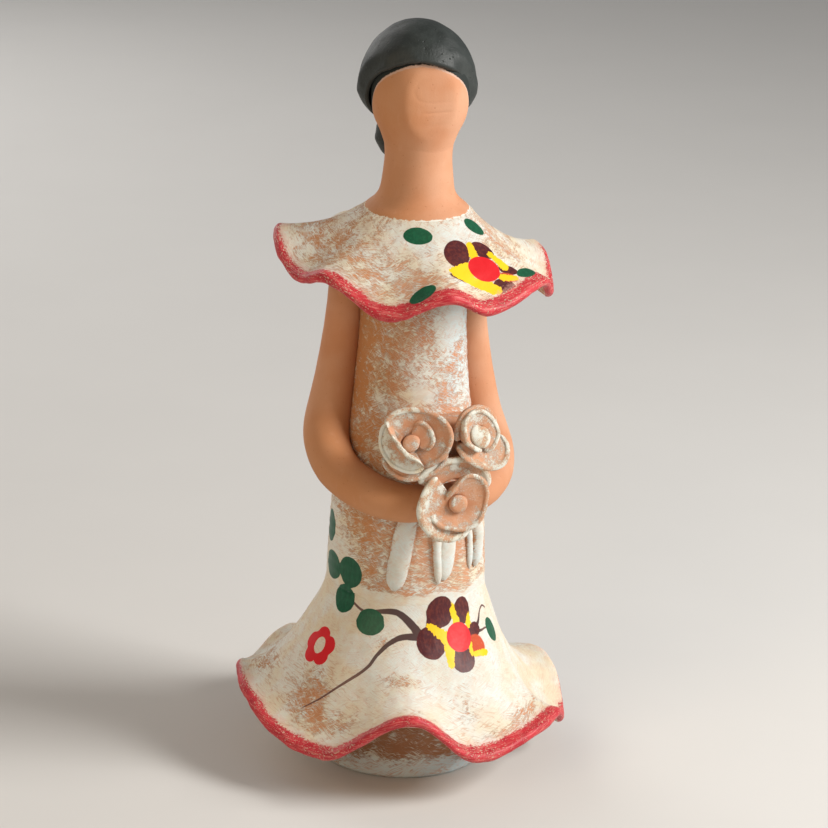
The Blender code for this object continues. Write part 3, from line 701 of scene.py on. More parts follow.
unpainted = 30.0  # a painted shape's mark is its signed distance, so this is far outside
offLine = -5.0  # share of the way along a line, before its start
lineKeys = ("upperBranch", "lowerBranch", "upperTwig", "lowerTwig")
dabKeys = ("redPaint", "petalPaint", "orangePaint", "yellowPaint", "leafPaint")


def addMark(marks, key, shape, depth, reach):
    # reach is how far off its flat frame a shape may be
    far = np.where(np.abs(depth) > reach, unpainted, 0.0)
    marks[key] = np.minimum(marks[key], shape + far)


def addFlower(marks, points, flower):
    u, v, w = inFrame(points, tangentFrame(*flower["frame"]))
    for key, mark, shape in (("red", "redPaint", ovalMark), ("petals", "petalPaint", ovalMark),
                             ("orange", "orangePaint", ovalMark), ("yellow", "yellowPaint", strokeMark)):
        for one in flower[key]:
            addMark(marks, mark, shape(u, v, one), w, 9)


def addLeaves(marks, points, leaves):
    for bearing, radius, height, lean, half, high, turn in leaves:
        u, v, w = inFrame(points, tangentFrame(bearing, radius, height, lean))
        addMark(marks, "leafPaint", ovalMark(u, v, (0, 0, half, high, turn)), w, 6)


def addSmallFlower(marks, points):
    s = smallFlower
    u, v, w = inFrame(points, tangentFrame(*s["frame"]))
    angle = np.arctan2(v, u / s["squash"]) - math.radians(s["turn"])
    reach = s["reach"] + s["lobe"] * (np.abs(np.cos(angle * s["lobes"] / 2)) ** 0.5 * 1.8 - 1.15)
    outline = np.hypot(u / s["squash"], v) - reach
    addMark(marks, "redPaint", np.maximum(outline, -ovalMark(u, v, s["eye"])), w, 9)


def painting(points, onSkirt):
    # everything painted on the collar, or on the flounce and the lower column, which run into each other
    marks = {key: np.full(points.shape[:2], unpainted) for key in dabKeys}
    marks.update({key: np.broadcast_to((0.0, offLine, 0.0), points.shape) for key in lineKeys})
    addFlower(marks, points, skirtFlower if onSkirt else collarFlower)
    addLeaves(marks, points, skirtLeaves if onSkirt else collarLeaves)
    if onSkirt:
        addSmallFlower(marks, points)
        for key in lineKeys:
            group = branches if key in branches else twigs
            marks[key] = lineMark(points, tangentFrame(*group["frame"]), *group[key])
    return marks


def patchCover(bearing, height, patches, base):
    # base everywhere, and soft patches (bearing, height, half widths, amount)
    cover = np.zeros(np.broadcast(bearing, height).shape) + base
    for b, z, wide, tall, amount in patches:
        off = signed(bearing - b) / wide
        cover = cover + amount * np.exp(-(off**2 + ((height - z) / tall) ** 2))
    return cover


columnShape = {
    "stations": ((0, 29.0), (55, 26.3), (91, 24.6), (121, 19.6), (150, 17.3), (180, 17.3)), "wall": 4.0,
    "footRound": 1.6, "around": 300, "rows": 210, "insideRows": 34,
    "lumps": ((0.28, 14.0, 1), (0.112, 5.0, 2)), "rings": (0.07, 1.9, 2.2), "backRise": 12,
    "drumTop": (24, 17), "brushRadius": 22.0,
    "paintLine": 63.8,  # solid paint below, scrubbed above
    "patches": [  # bearing, height, half width, half height, amount of paint
        (36, 158, 20, 9, 0.95), (18, 149, 14, 6, 0.50), (-11, 130.5, 14, 2.4, 1.0), (2, 137, 24, 6, 0.12),
        (-52, 127, 9, 4, 0.30), (-62, 140, 12, 9, 0.16), (-85, 150, 30, 30, -0.50),
        (-66, 112, 26, 14, -0.10), (-28, 160, 16, 5, 0.22), (52, 138, 14, 18, 0.22), (-82, 75, 24, 8, 0.65),
        (-52, 82, 22, 9, -0.12), (-12, 84, 12, 12, -0.05), (20, 74, 14, 9, -0.10), (52, 78, 12, 10, 0.15),
        (-100, 90, 30, 14, 0.2), (20, 118, 40, 8, -0.08),
    ],
}


def columnRadius(height):
    return smoothCurve(columnShape["stations"], height)


def makeColumn():
    c = columnShape
    bearing = around(c["around"])[None]
    footRadius, footRound, wall = c["stations"][0][1], c["footRound"], c["wall"]
    foot = np.radians(np.linspace(90, 0, 8))
    section = [(footRadius - footRound * (1 - math.cos(a)), footRound * (1 - math.sin(a))) for a in foot]
    section += [(columnRadius(z), z) for z in np.linspace(footRound, columnTop, c["rows"])[1:]]
    outside = len(section)
    section += [(columnRadius(z) - wall, z) for z in np.linspace(columnTop, 1.2, c["insideRows"])]
    section += [(footRadius - wall + 0.4, 0.3), (footRadius - wall + 1.1, 0.0)]
    section = np.array(section)
    height = section[:, 1:]
    points = atBearing(section[:, :1], bearing, height)
    out = unit(points * (1, 1, 0))
    settle = easeIn(0.5, 8.0, height) * easeIn(columnTop, columnTop - 8, height)
    ringHigh, ringPace, ringWander = c["rings"]
    rings = ringHigh * np.sin(height * ringPace + ringWander * lumps(points, 18.0, 3))
    bumps = layered(points, c["lumps"]) + rings
    bumps[outside:] *= 0.3
    points = points + out * (bumps * settle)[..., None]
    wide = signed(bearing)
    line = c["paintLine"] + 1.3 * lumps(atBearing(26, bearing, 0 * height), 9.0, 5)
    line = line + 9.0 * np.exp(-(((wide + 92) / 26) ** 2))
    line = line + c["backRise"] * easeIn(-105, -160, wide) + c["backRise"] * easeIn(80, 150, wide)
    cover = patchCover(wide, height, c["patches"], -0.02)
    below = easeIn(0.4, -0.4, height - line)
    cover = giveWay(cover, below, 0.75)
    level = height + 0 * wide
    drum = easeIn(*c["drumTop"], level)
    footPaint = easeIn(9.5, 5.0, height + 1.2 * lumps(points, 6.0, 6))
    cover = giveWay(cover, drum, -0.30 + 0.62 * footPaint)
    cover[outside:] = -0.6
    # painted cool light: bluish white towards the key light and on the foot
    cool = 0.75 * easeIn(-25, 35, wide) * easeIn(100, 140, level) + 0.35 * easeIn(-20, 30, wide) * below
    cool = cool + 0.6 * drum * easeIn(9.0, 5.0, level)
    # painted shade on the drum under the flounce's arch
    shade = 0.62 * easeIn(26, 18, level) * easeIn(3, 8, height)
    # ochre, deepened as painted shade on the side away from the key light
    ochre = 0.15 + 0.75 * easeIn(-10, -60, wide) * easeIn(-175, -120, wide) + 0 * height
    marks = painting(points, True)
    for key in lineKeys:
        marks[key][outside:, :, 1] = offLine
    for key in dabKeys:
        marks[key][outside:] = unpainted
    marks.update(brush=brushMarks(points, bearing, c["brushRadius"]), cover=cover,
                 cool=np.clip(cool, 0, 1), ochre=ochre, shade=shade)
    finish = paintedDress("paintedColumn", motifs=True)
    pieceFromGrid("painted_column", points, finish, ["body_column"], True, marks)


collarShape = {
    "name": "waved_collar", "node": "collar_ruffle", "root": (17.6, 187.1), "rim": (44.5, 171.0),
    "thickness": 3.4, "around": 440, "apron": ((15.6, 188.1), (16.6, 187.9)), "steps": 44,
    "brushRadius": 30.0,
    "waves": (
        (-112, 9.0), (-75.5, 0.5), (-60, 4.0), (-29.5, -6.0), (-4.5, 1.0), (13.5, -5.0), (46.5, 0.0),
        (68.5, -8.5), (98, 0.4), (120, -6.0), (140, 4.0), (166, -5.0), (192, 3.2), (220, -4.5),
    ),
    "bows": (  # hollowness of the slope, 1 is straight
        (-110, 1.1), (30, 1.15), (85, 1.9), (130, 1.6), (180, 1.2),
    ),
    "bands": (
        (-112, 0.4), (-70, 2.1), (-30, 3.0), (0, 2.9), (20, 3.1), (50, 2.9), (80, 1.2), (108, -2.0),
        (225, -2.2),
    ),
    "patches": [  # bearing, radius, half widths, amount
        (-20, 22, 26, 5, 0.55), (20, 21, 22, 4, 0.50), (-72, 30, 26, 8, -0.10), (-40, 37, 20, 5, -0.12),
        (-20, 38, 14, 5, -0.20), (-112, 43, 24, 4, 0.45), (-66, 43, 20, 2.4, 0.30), (85, 41, 24, 6, 0.55),
        (55, 27, 12, 7, -0.10), (0, 31, 18, 6, 0.20), (-95, 22, 20, 5, 0.15), (28, 40, 22, 4, 0.30),
        (150, 32, 40, 9, -0.1), (230, 30, 30, 9, -0.1),
    ],
    "base": 0.10, "cool": (6, 21, 40, 7, 0.5), "ochre": (-78, 40, 0.75), "onSkirt": False,
}
flounceShape = {
    "name": "waved_flounce", "node": "skirt_flounce", "root": (27.6, 55.0), "rim": (54.0, 21.0),
    "thickness": 3.6, "around": 500, "apron": ((25.6, 63.5), (26.15, 60.5), (26.55, 58.3), (27.0, 56.5)),
    "steps": 48, "brushRadius": 38.0,
    "waves": (
        (-106.5, 7.5), (-49.5, -4.0), (-16, 13.5), (10, -2.8), (50.5, 1.5), (68.5, -7.0), (100, 3.4),
        (138, -5.0), (161, 6.0), (184, -5.0), (208, 5.4), (230, 1.5),
    ),
    "bows": ((-110, 1.55), (-30, 1.55), (20, 1.8), (75, 2.5), (120, 2.3), (180, 2.0)),
    "bands": (
        (-106, -0.6), (-80, 1.4), (-60, 2.5), (-40, 2.3), (-16, 2.7), (10, 3.2), (40, 2.7), (66, 1.6),
        (82, -1.8), (150, -2.2), (225, -2.4),
    ),
    "patches": [
        (-66, 42, 15, 5.5, -0.72), (-50, 47, 16, 3.6, -0.62), (-22, 38, 10, 2.4, -0.62),
        (-32, 31, 9, 1.5, -0.45), (10, 41, 7, 3.5, -0.52), (26, 49, 15, 3.2, -0.66),
        (48, 47, 12, 3.0, -0.50), (-8, 48, 12, 2.2, -0.45), (-104, 46, 16, 5, -0.60),
        (220, 42, 24, 8, -0.66), (130, 44, 22, 6, -0.50), (180, 46, 20, 5, -0.55),
    ],
    "base": 0.66, "cool": (14, 32, 40, 12, 0.5), "ochre": (-100, 60, 0.7), "onSkirt": True,
}


ruffleShape = {
    "reach": 0.972, "waveGrow": 1.8, "pinch": (0.08, 7.0, 11), "finePinch": (0.06, 3.0, 12),
    "pinchOut": 0.35, "lipSteps": 15, "sunk": 0.6,
    "dents": ((0.22, 9.0, 21), (0.10, 3.5, 22), (0.05, 1.6, 23)), "rootDents": 0.35, "underCover": -0.25,
    "underOchre": 0.5, "worn": (8.0, 31),
}


def makeRuffle(r):
    both = ruffleShape
    bearing = around(r["around"])
    (rootRadius, rootHeight), (rimRadius, rimHeight) = r["root"], r["rim"]
    rimLine = atBearing(rimRadius, bearing, 0 * bearing)
    (thicker, grain, seed), finePinch = both["pinch"], both["finePinch"]
    pinch = lumps(rimLine, grain, seed)
    thick = r["thickness"] * (1 + thicker * pinch + layered(rimLine, (finePinch,)))
    s = np.linspace(0, both["reach"], r["steps"])[:, None]
    height = rimHeight + (rootHeight - rimHeight) * (1 - s) ** ringCurve(r["bows"], bearing)
    height = height + ringCurve(r["waves"], bearing) * s ** both["waveGrow"]
    radius = np.broadcast_to(rootRadius + (rimRadius - rootRadius) * s, height.shape)
    flat = np.stack([radius + both["pinchOut"] * pinch * s**3, height], -1)
    run = unit(np.gradient(flat, axis=0))
    normal = np.stack([-run[..., 1], run[..., 0]], -1)
    under = flat - normal * thick[None, :, None]
    half = thick[:, None] / 2
    lip = []
    for angle in np.linspace(0, math.pi, both["lipSteps"])[1:-1]:
        over = flat[-1] - normal[-1] * half + normal[-1] * half * math.cos(angle)
        lip.append(over + run[-1] * half * math.sin(angle))
    back = under[::-1][: r["steps"] - 3]
    wall = columnRadius(np.maximum(back[..., 1], 0)) if r["onSkirt"] else columnShape["stations"][-1][1]
    back = np.stack([np.maximum(back[..., 0], wall - both["sunk"]), back[..., 1]], -1)[::2]
    apron = np.array(r["apron"])[:, None] + np.zeros((1, r["around"], 2))
    section = np.concatenate([apron, flat[1:], np.stack(lip), back])
    points = atBearing(section[..., 0], bearing[None], section[..., 1])
    top = len(apron) + len(flat) - 1
    inside = top + len(lip)
    normals = gridNormals(points, True)
    if normals[top // 2, :, 2].mean() < 0:
        normals = -normals
    soft = np.zeros(points.shape[:2])
    soft[:inside] = 1.0
    soft[:len(apron) + 1] = both["rootDents"]
    points = swollen(points, normals, both["dents"], soft)
    length = rowLength(points)
    fromRim = length[top - 1] - length
    wide = signed(bearing[None])
    spread = np.hypot(points[..., 0], points[..., 1])
    cover = patchCover(wide, spread, r["patches"], r["base"])
    cover[inside:] = both["underCover"]
    # ochre round one side, deepened there as painted shade; plain ochre underneath
    middle, wideOchre, amount = r["ochre"]
    ochre = 0.05 + amount * np.exp(-((signed(wide - middle) / wideOchre) ** 2)) + 0 * fromRim
    ochre[inside:] = both["underOchre"]
    marks = painting(points, r["onSkirt"])
    for key in dabKeys:
        marks[key][inside:] = unpainted
    # the bluish white patch is painted cool light
    marks.update(brush=brushMarks(points, bearing, r["brushRadius"]), cover=cover, fromRim=fromRim,
                 cool=patchCover(wide, spread, (r["cool"],), 0.0), ochre=ochre,
                 band=np.broadcast_to(ringCurve(r["bands"], bearing), fromRim.shape),
                 worn=0.5 + 0.5 * lumps(points, *both["worn"]))
    finish = paintedDress(r["name"] + "_paint", motifs=True, rim=True)
    pieceFromGrid(r["name"], points, finish, [r["node"]], True, marks)


neckShape = {
    "stations": (
        (184.5, 17.3), (187.2, 17.2), (188.1, 16.5), (190.4, 13.9), (193.3, 12.15), (198, 11.3),
        (204, 10.75), (208, 10.95), (211, 11.4),
    ),
    "plug": ((5.6, 174.2), (12.9, 174.2), (12.9, 180.4), (17.0, 180.4)), "top": 210.4, "around": 160,
    "rows": 90, "lumps": ((0.14, 9.0, 41),),
}
headShape = {
    "turn": 17.0, "around": 200, "rows": 120, "sides": (207.6, 243.4), "crownHigh": 1.5, "top": 245.0,
    "lumps": ((0.10, 8.0, 43),),
    "wide": (
        (207.5, 10.8), (209, 11.1), (212.7, 12.45), (217.3, 14.5), (221.5, 15.35), (226, 15.55),
        (231, 15.2), (236, 13.9), (240.5, 11.3), (243.5, 7.6), (245, 1.0),
    ),
    "front": (
        (207.5, 10.8), (209, 11.1), (212.7, 12.3), (217.3, 13.7), (222, 14.4), (228, 14.4), (233, 13.6),
        (238, 11.6), (242, 8.2), (244, 5.0), (245, 1.0),
    ),
    "back": (
        (207.5, 10.8), (209, 11.1), (212.7, 13.0), (217.3, 15.6), (222, 17.2), (228, 17.5), (234, 16.2),
        (239, 13.0), (243, 7.6), (245, 1.0),
    ),
    "facet": (-5.0, 12.9, 1.7),  # bearing it looks to, distance from the axis, softness
    "smears": ((221.9, 0.15, 0.42), (225.0, 0.06, 0.5), (217.8, 0.08, 0.9)),  # height, depth, thickness
    "thumb": (-1.6, 228.9, 3.5, 0.07),  # place across and up, radius and depth of an arc
}
hoodShape = {
    "centre": (-0.9, 2.0, 224.5), "up": 23.7, "down": 16.2, "half": 19.3, "front": 20.2, "back": 21.2,
    "thickness": 3.7, "around": 220, "rows": 90, "insideRows": 26, "turn": 17.0,
    "lumps": ((0.30, 7.0, 51), (0.16, 3.0, 52)),
    "edge": (
        (0, 238.9), (20, 238.0), (45, 234.9), (60, 231.8), (70, 228.7), (80, 223.6), (90, 218.8),
        (100, 215.8), (150, 213.5), (180, 213),
    ),
    "tuck": (  # how far its edge draws in
        (0, 0.2), (40, 0.5), (65, 2.2), (100, 2.4), (140, 0.8), (180, 0.4),
    ),
}
bunShape = {"radius": 7.9, "flat": 0.94, "around": 90, "rows": 60, "lumps": ((0.28, 5.0, 61),)}


def makeNeck():
    n = neckShape
    bearing = around(n["around"])[None]
    heights = np.linspace(n["stations"][0][0], n["top"], n["rows"])
    outer = [(smoothCurve(n["stations"], z), z) for z in heights]
    section = np.array([*n["plug"], *outer, (n["plug"][0][0], n["top"])])
    height = section[:, 1:]
    points = atBearing(section[:, :1], bearing, height)
    points = swollen(points, unit(points * (1, 1, 0)), n["lumps"], easeIn(189, 193, height))
    # painted cool light: the neckline paint turns whiter towards the key light
    marks = {"cool": easeIn(-60, 0, signed(bearing)) + 0 * height}
    finish = smoothClay("bareNeck", neckline=True)
    pieceFromGrid("bare_neck", points, finish, ["neck_and_shoulders"], True, marks)


def hoodEdgeAt(turned):
    return smoothCurve(hoodShape["edge"], np.abs(signed(turned)))


def makeHead():
    h = headShape
    turned = around(h["around"])
    low, high = h["sides"]
    crown = high + h["crownHigh"] * np.sin(np.linspace(0.1, 1.55, 14))
    z = np.concatenate([np.linspace(low, high, h["rows"]), crown]) + (headTop - h["top"])
    wide, front, back = (smoothCurve(h[key], z)[:, None] for key in ("wide", "front", "back"))
    a = np.radians(turned)[None]
    x, y = np.sin(a), -np.cos(a)
    points = turnedAbout(wide * x, np.where(y < 0, front, back) * y, z[:, None] + 0 * x, -h["turn"])
    faceBearing, limit, soft = h["facet"]
    b = math.radians(faceBearing)
    look = np.array([math.sin(b), -math.cos(b), 0.0])
    over = np.maximum(points @ look - limit + soft * 0.5, 0)
    points = points - look * (over**2 / (over + soft) * easeIn(211, 215, z)[:, None])[..., None]
    side = points @ np.array([-look[1], look[0], 0.0])
    inFacet = easeIn(limit - 2.2, limit - 0.6, points @ look) * easeIn(-9, -5, -side) * easeIn(-8, -5, side)
    for level, deep, thick in h["smears"]:
        droop = level + 0.05 * side + 0.4 * lumps(points * (0.3, 0.3, 0.0), 2.0, level)
        press = deep * inFacet * easeIn(-4, 1, side) * np.exp(-(((points[..., 2] - droop) / thick) ** 2))
        points = points - look * press[..., None]
    across, up, arcRadius, deep = h["thumb"]
    arc = np.hypot(side - across, points[..., 2] - up) - arcRadius
    arc = np.exp(-((arc / 0.45) ** 2)) * easeIn(1.5, -2, side - across)
    points = points - look * (deep * arc * easeIn(limit - 3.5, limit - 2.0, points @ look))[..., None]
    out = unit(points - np.array([0, 0, 224.0]))
    points = swollen(points, out, h["lumps"], easeIn(209, 214, z)[:, None])
    edge = hoodEdgeAt(turned)[None] - points[..., 2]
    finish = smoothClay("bareHead", hoodEdge=True)
    pieceFromGrid("bare_head", points, finish, ["head"], False, {"hoodEdge": edge})


def makeHood():
    h = hoodShape
    turned = around(h["around"])
    edge = hoodEdgeAt(turned)
    cx, cy, cz = h["centre"]
    a = np.radians(turned)[None]
    first, last = 0.012, 0.965  # shares of the way from the crown to the edge

    def shell(grow, share):
        up, down = h["up"] + grow, h["down"] + grow
        edgeSine = np.clip(np.where(edge > cz, (edge - cz) / up, (edge - cz) / down), -0.99, 0.99)
        angle = math.pi / 2 + (np.arcsin(edgeSine) - math.pi / 2) * share[:, None]
        rise = np.sin(angle)
        z = cz + rise * np.where(rise > 0, up, down)
        x, y = np.sin(a) * np.cos(angle), -np.cos(a) * np.cos(angle)
        depth = np.where(y < 0, h["front"], h["back"]) + grow
        return turnedAbout((h["half"] + grow) * x + cx, depth * y + cy, z, -h["turn"])

    share = np.linspace(first, last, h["rows"])
    tuck = smoothCurve(h["tuck"], np.abs(signed(turned))) * easeIn(0.72, 1.0, share)[:, None]
    outer = shell(-tuck, share)
    inner = shell(-h["thickness"], np.linspace(last, 0.03, h["insideRows"]))
    mid = (outer[-1] + inner[0]) / 2
    arm = (outer[-1] - inner[0]) / 2
    down = unit(outer[-1] - outer[-3]) * np.linalg.norm(arm, axis=-1, keepdims=True)
    lip = [mid + arm * math.cos(k) + down * math.sin(k) * 0.8 for k in np.linspace(0, math.pi, 11)[1:-1]]
    points = np.concatenate([outer, np.stack(lip), inner])
    normals = gridNormals(points, False)
    middle = h["rows"] // 2
    if (normals[middle] * (points[middle] - np.array([cx, cy, cz]))).sum() < 0:
        normals = -normals
    keep = np.ones((len(points), 1))
    keep[-h["insideRows"] - 1:] = 0.2
    keep[:6, 0] = np.linspace(0.2, 1, 6)
    points = swollen(points, normals, h["lumps"], keep)
    pieceFromGrid("painted_hood", points, satinHair("satinHood"), ["hair_cap"], False)


def makeBun():
    b = bunShape
    low, high = boxOf("hair_bun")
    angle = np.radians(around(b["around"]))[None]
    lift = np.sin(np.linspace(-0.995, 0.995, b["rows"]) * math.pi / 2)[:, None]
    reach = np.sqrt(1 - lift**2)
    x, y = reach * np.sin(angle), -reach * np.cos(angle)
    points = np.stack([x, y * b["flat"], lift + 0 * x], -1) * b["radius"]
    twist = 0.15 * np.sin(points[..., 2] * 1.3 + 3 * x)
    points = points + unit(points) * (layered(points, b["lumps"]) + twist)[..., None] + (low + high) / 2
    pieceFromGrid("painted_bun", points, satinHair("satinBun"), ["hair_bun"], False)


armShape = {
    "press": 0.8, "rings": 150, "around": 44, "lumps": ((0.22, 12.0, 71), (0.06, 4.0, 72)),
    "right": (
        (handDrop - 1, 116, 5.1), (76.5, 115.5, 5.5), (55.5, 113.5, 5.8), (27.5, 107.7, 7.0),
        (15.5, 97, 7.6), (8, 76, 7.3), (2.5, 46, 6.8), (0, 24, 6.3), (0, 9, 5.7), (0.5, 3.4, 3.4),
    ),
    "left": (
        (handDrop - 1, 112, 4.8), (76.5, 111.5, 5.1), (55.5, 109.5, 5.8), (27.5, 106, 6.8), (15.5, 98, 6.7),
        (8, 80, 6.4), (2.5, 50, 6.1), (0, 26, 5.9), (0, 9, 5.6), (0.5, 3.4, 3.4),
    ),
}


def makeArm(side, sign, node):
    rows = armShape[side]
    last = len(rows) - 1
    t = last * np.linspace(0, 1, armShape["rings"])
    stations = [[(i, row[k]) for i, row in enumerate(rows)] for k in range(3)]
    height, bearing, radius = (smoothCurve(line, t) for line in stations)
    full = smoothCurve(stations[2][1:-1], t)
    height = height + handHeight
    reach = columnRadius(height) + full - armShape["press"]
    centre, away, across = laidOnColumn(reach, sign * bearing, height)
    angle = around(armShape["around"], 2 * math.pi)[None, :, None]
    tip = last - 0.55  # where the hand starts to round off
    endRound = np.sqrt(np.clip(1 - ((t - tip) / 0.56).clip(0, 1) ** 2, 0.004, 1))
    size = (np.where(t > tip, full * 0.98, radius) * endRound)[:, None, None]
    points = centre + size * (away * np.cos(angle) + across * np.sin(angle))
    points = swollen(points, unit(points - centre), armShape["lumps"])
    pieceFromGrid(node + "_coil", points, smoothClay("bareArm_" + side), [node], False)


petalShape = {
    "step": 3.2, "bowlRows": 12, "rimRows": 7, "rimHigh": 0.32, "lumps": ((0.16, 2.6, 81), (0.07, 1.1, 82)),
}


def petalGrid(frameAt, rim, inner, depth, thickness, bowl):
    # rim is a list of (angle, radius, height), inner the radius and depth where the bowl starts
    petal = petalShape
    count = max(int(abs(rim[-1][0] - rim[0][0]) / petal["step"]), 24)
    knots = np.linspace(0, 1, len(rim))
    t = np.linspace(0, 1, count)
    angle, radius, level = (smoothCurve([(k, row[i]) for k, row in zip(knots, rim)], t) for i in range(3))
    fade = np.sqrt(np.clip(np.minimum(t, 1 - t) / 0.06, 0, 1))
    thick = thickness * (0.25 + 0.75 * fade)
    innerRadius, innerLevel = np.minimum(inner[0], radius - 0.9), inner[1] + 0 * radius
    footRadius = np.maximum(innerRadius * 0.75, 1.6)
    outerRadius = radius + thick / 2
    shares = np.linspace(0, 1, petal["bowlRows"])
    rows = []
    for s in shares:  # inside of the bowl, from the middle out to the rim
        bowlRadius = innerRadius + (radius - thick / 2 - innerRadius) * s
        rows.append((bowlRadius, innerLevel + (level - innerLevel) * s ** (1 + bowl)))
    for k in np.linspace(0, math.pi, petal["rimRows"] + 2)[1:-1]:
        rows.append((radius - thick / 2 * math.cos(k), level + thick * petal["rimHigh"] * math.sin(k)))
    for s in shares:  # outside wall, down to the foot
        bend = 0.15 * s + 0.85 * (1 - (1 - s) ** 1.5)
        wallRadius = outerRadius - (outerRadius - footRadius - thick * 0.4) * s**1.5
        rows.append((wallRadius, level - (level + depth) * bend))
    out, rise = np.array(rows).transpose(1, 2, 0)
    a = np.radians(angle)[:, None]
    local = np.stack([out * np.cos(a), out * np.sin(a), rise], -1)
    local = swollen(local, unit(local - local.mean(1, keepdims=True)), petal["lumps"])
    wipe = np.concatenate([0.1 + 0.45 * shares, np.full(petal["rimRows"], 0.85), 0.85 - 0.85 * shares])
    # painted shade: darkest deep in the bowl and down the outer wall to the foot
    deep = np.concatenate([(0.55 - 0.55 * shares) ** 2, np.zeros(petal["rimRows"]), (0.75 * shares) ** 1.5])
    flat = np.zeros(local.shape[:2])
    return fromFrame(frameAt, local), {"wipe": wipe + flat, "deep": deep + flat}


roseShapes = {
    "rose_left": {
        "frame": (-14, 10, -2.6, -1.5), "bud": (3.0, 2.7, 1.0, 40, 0.15), "depth": 7.0,
        "petals": (
            ("inner_petal", [
                (84, 5.6, -1.6), (70, 7.2, -0.3), (39, 7.5, 0.1), (10, 7.2, 0.0), (-10, 6.4, -0.3),
                (-26, 5.8, -1.0),
            ], (2.9, -0.5), 1.5, 0.6, 0.5),
            ("middle_petal", [
                (60, 11.0, 0.2), (95, 10.9, 0.4), (134, 10.8, 0.6), (147, 8.6, 0.9), (158, 6.4, 1.1),
                (172, 4.4, 1.1), (200, 3.6, 0.9), (232, 3.4, 0.7), (275, 4.4, 0.4), (296, 6.4, 0.2),
                (300, 8.4, -0.4),
            ], (2.6, -1.2), 1.7, 0.8, 0.9),
            ("outer_petal", [
                (138, 11.0, -0.4), (104, 10.8, 0.0), (73, 11.2, 0.3), (47, 12.1, 0.6), (24, 12.9, 0.7),
                (5, 12.7, 0.6), (-10, 11.8, 0.4), (-26, 10.8, 0.0), (-44, 9.6, -0.8), (-62, 9.0, -1.8),
            ], (2.6, -2.0), 1.7, 0.5, 0.3),
            ("outer_petal", [
                (140, 10.0, -1.4), (160, 9.9, -2.0), (185, 9.5, -2.5), (212, 9.2, -2.7), (240, 9.2, -2.6),
                (266, 9.6, -2.3), (286, 9.6, -2.0), (300, 9.0, -2.0),
            ], (3.2, 0.3), 1.2, 0.5, 1.8),
            ("outer_petal", [
                (212, 10.4, -4.4), (234, 11.2, -4.0), (256, 12.0, -3.7), (276, 12.3, -3.4),
                (296, 12.3, -3.2), (316, 12.6, -3.0), (334, 12.6, -3.0), (350, 11.8, -3.8),
            ], (6.0, -4.0), 1.5, 0.6, 0.4),
        ),
    },
    "rose_right": {
        "frame": (16, 8, -2.1, -0.9), "bud": (4.4, 3.3, 0.7, -50, 0.8), "depth": 7.0,
        "petals": (
            ("inner_petal", [
                (-80, 4.6, -0.9), (-105, 4.3, 0.1), (-135, 4.3, 0.4), (-162, 5.2, 0.5), (-187, 6.2, 0.5),
                (-205, 7.0, 0.5), (-238, 8.6, 0.3), (-265, 8.6, 0.2), (-300, 7.2, 0.0), (-335, 6.8, -0.2),
                (-364, 7.1, -0.4), (-398, 6.8, -0.8), (-425, 6.0, -1.6),
            ], (3.4, -0.5), 1.5, 0.7, 0.8),
            ("middle_petal", [
                (20, 7.8, -1.6), (50, 8.2, -1.4), (85, 9.2, -1.3), (120, 9.2, -1.5), (150, 8.0, -2.2),
                (185, 7.2, -3.0),
            ], (4.5, -2.8), 1.9, 0.6, 0.2),
            ("outer_petal", [
                (196, 7.4, -2.6), (222, 7.7, -2.1), (249, 8.4, -1.7), (270, 9.8, -1.4), (286, 11.6, -1.1),
                (298, 12.8, -0.9), (310, 13.6, -0.9), (324, 13.4, -1.2), (340, 11.6, -1.8),
                (352, 9.4, -2.6),
            ], (4.0, -2.4), 2.1, 0.6, 0.7),
        ),
    },
    "rose_low": {
        "frame": (-2, 8, 1.2, -0.7), "bud": (3.1, 3.0, 1.2, 0, 0.3), "depth": 7.0,
        "petals": (
            ("inner_petal", [
                (174, 3.9, -1.2), (133, 4.0, -0.4), (102, 5.4, 0.1), (84, 7.6, 0.4), (72, 9.4, 0.6),
                (47, 10.8, 0.6), (28, 10.5, 0.4), (3, 9.3, 0.1), (-20, 9.0, 0.1), (-45, 9.1, 0.2),
                (-75, 8.6, 0.3), (-109, 8.1, 0.4), (-129, 9.0, 0.2), (-150, 9.4, -0.2), (-170, 9.2, -0.9),
                (-200, 7.6, -1.8), (-230, 6.6, -2.4),
            ], (3.0, -0.7), 1.6, 0.8, 0.5),
            ("middle_petal", [
                (126, 11.0, -1.2), (148, 11.5, -0.4), (167, 12.0, 0.2), (184, 13.0, 0.5), (202, 13.1, 0.5),
                (220, 12.9, 0.3), (239, 12.4, -0.1), (257, 11.7, -0.7), (276, 10.8, -1.3), (296, 9.8, -2.2),
            ], (2.9, -1.5), 2.4, 0.6, 1.0),
            ("outer_petal", [
                (150, 13.6, -3.0), (136, 14.6, -2.3), (118, 14.0, -1.7), (96, 14.0, -1.4), (72, 14.4, -1.4),
                (52, 14.2, -1.7), (36, 13.2, -2.3), (20, 11.6, -3.2),
            ], (7.5, -3.2), 2.3, 0.5, 1.0),
        ),
    },
}


def roseFrame(name, yaw, tilt, aside, lift):
    # the flower's middle at its rim, from its bud's box, nudged aside and up
    low, high = boxOf(name + "_bud")
    y, t = math.radians(yaw), math.radians(tilt)
    out = np.array([math.sin(y) * math.cos(t), -math.cos(y) * math.cos(t), math.sin(t)])
    right = unit(np.cross((0, 0, 1), out))
    up = np.cross(out, right)
    return (low + high) / 2 + out * budShape["ahead"] + right * aside + up * lift, right, up, out


budShape = {
    "rows": 26, "around": 48, "shoulder": 0.55, "capHigh": 0.452, "foot": -5.5, "neck": -0.3,
    "fold": (2.3, 0.25, 0.25), "ahead": 3.1,
}


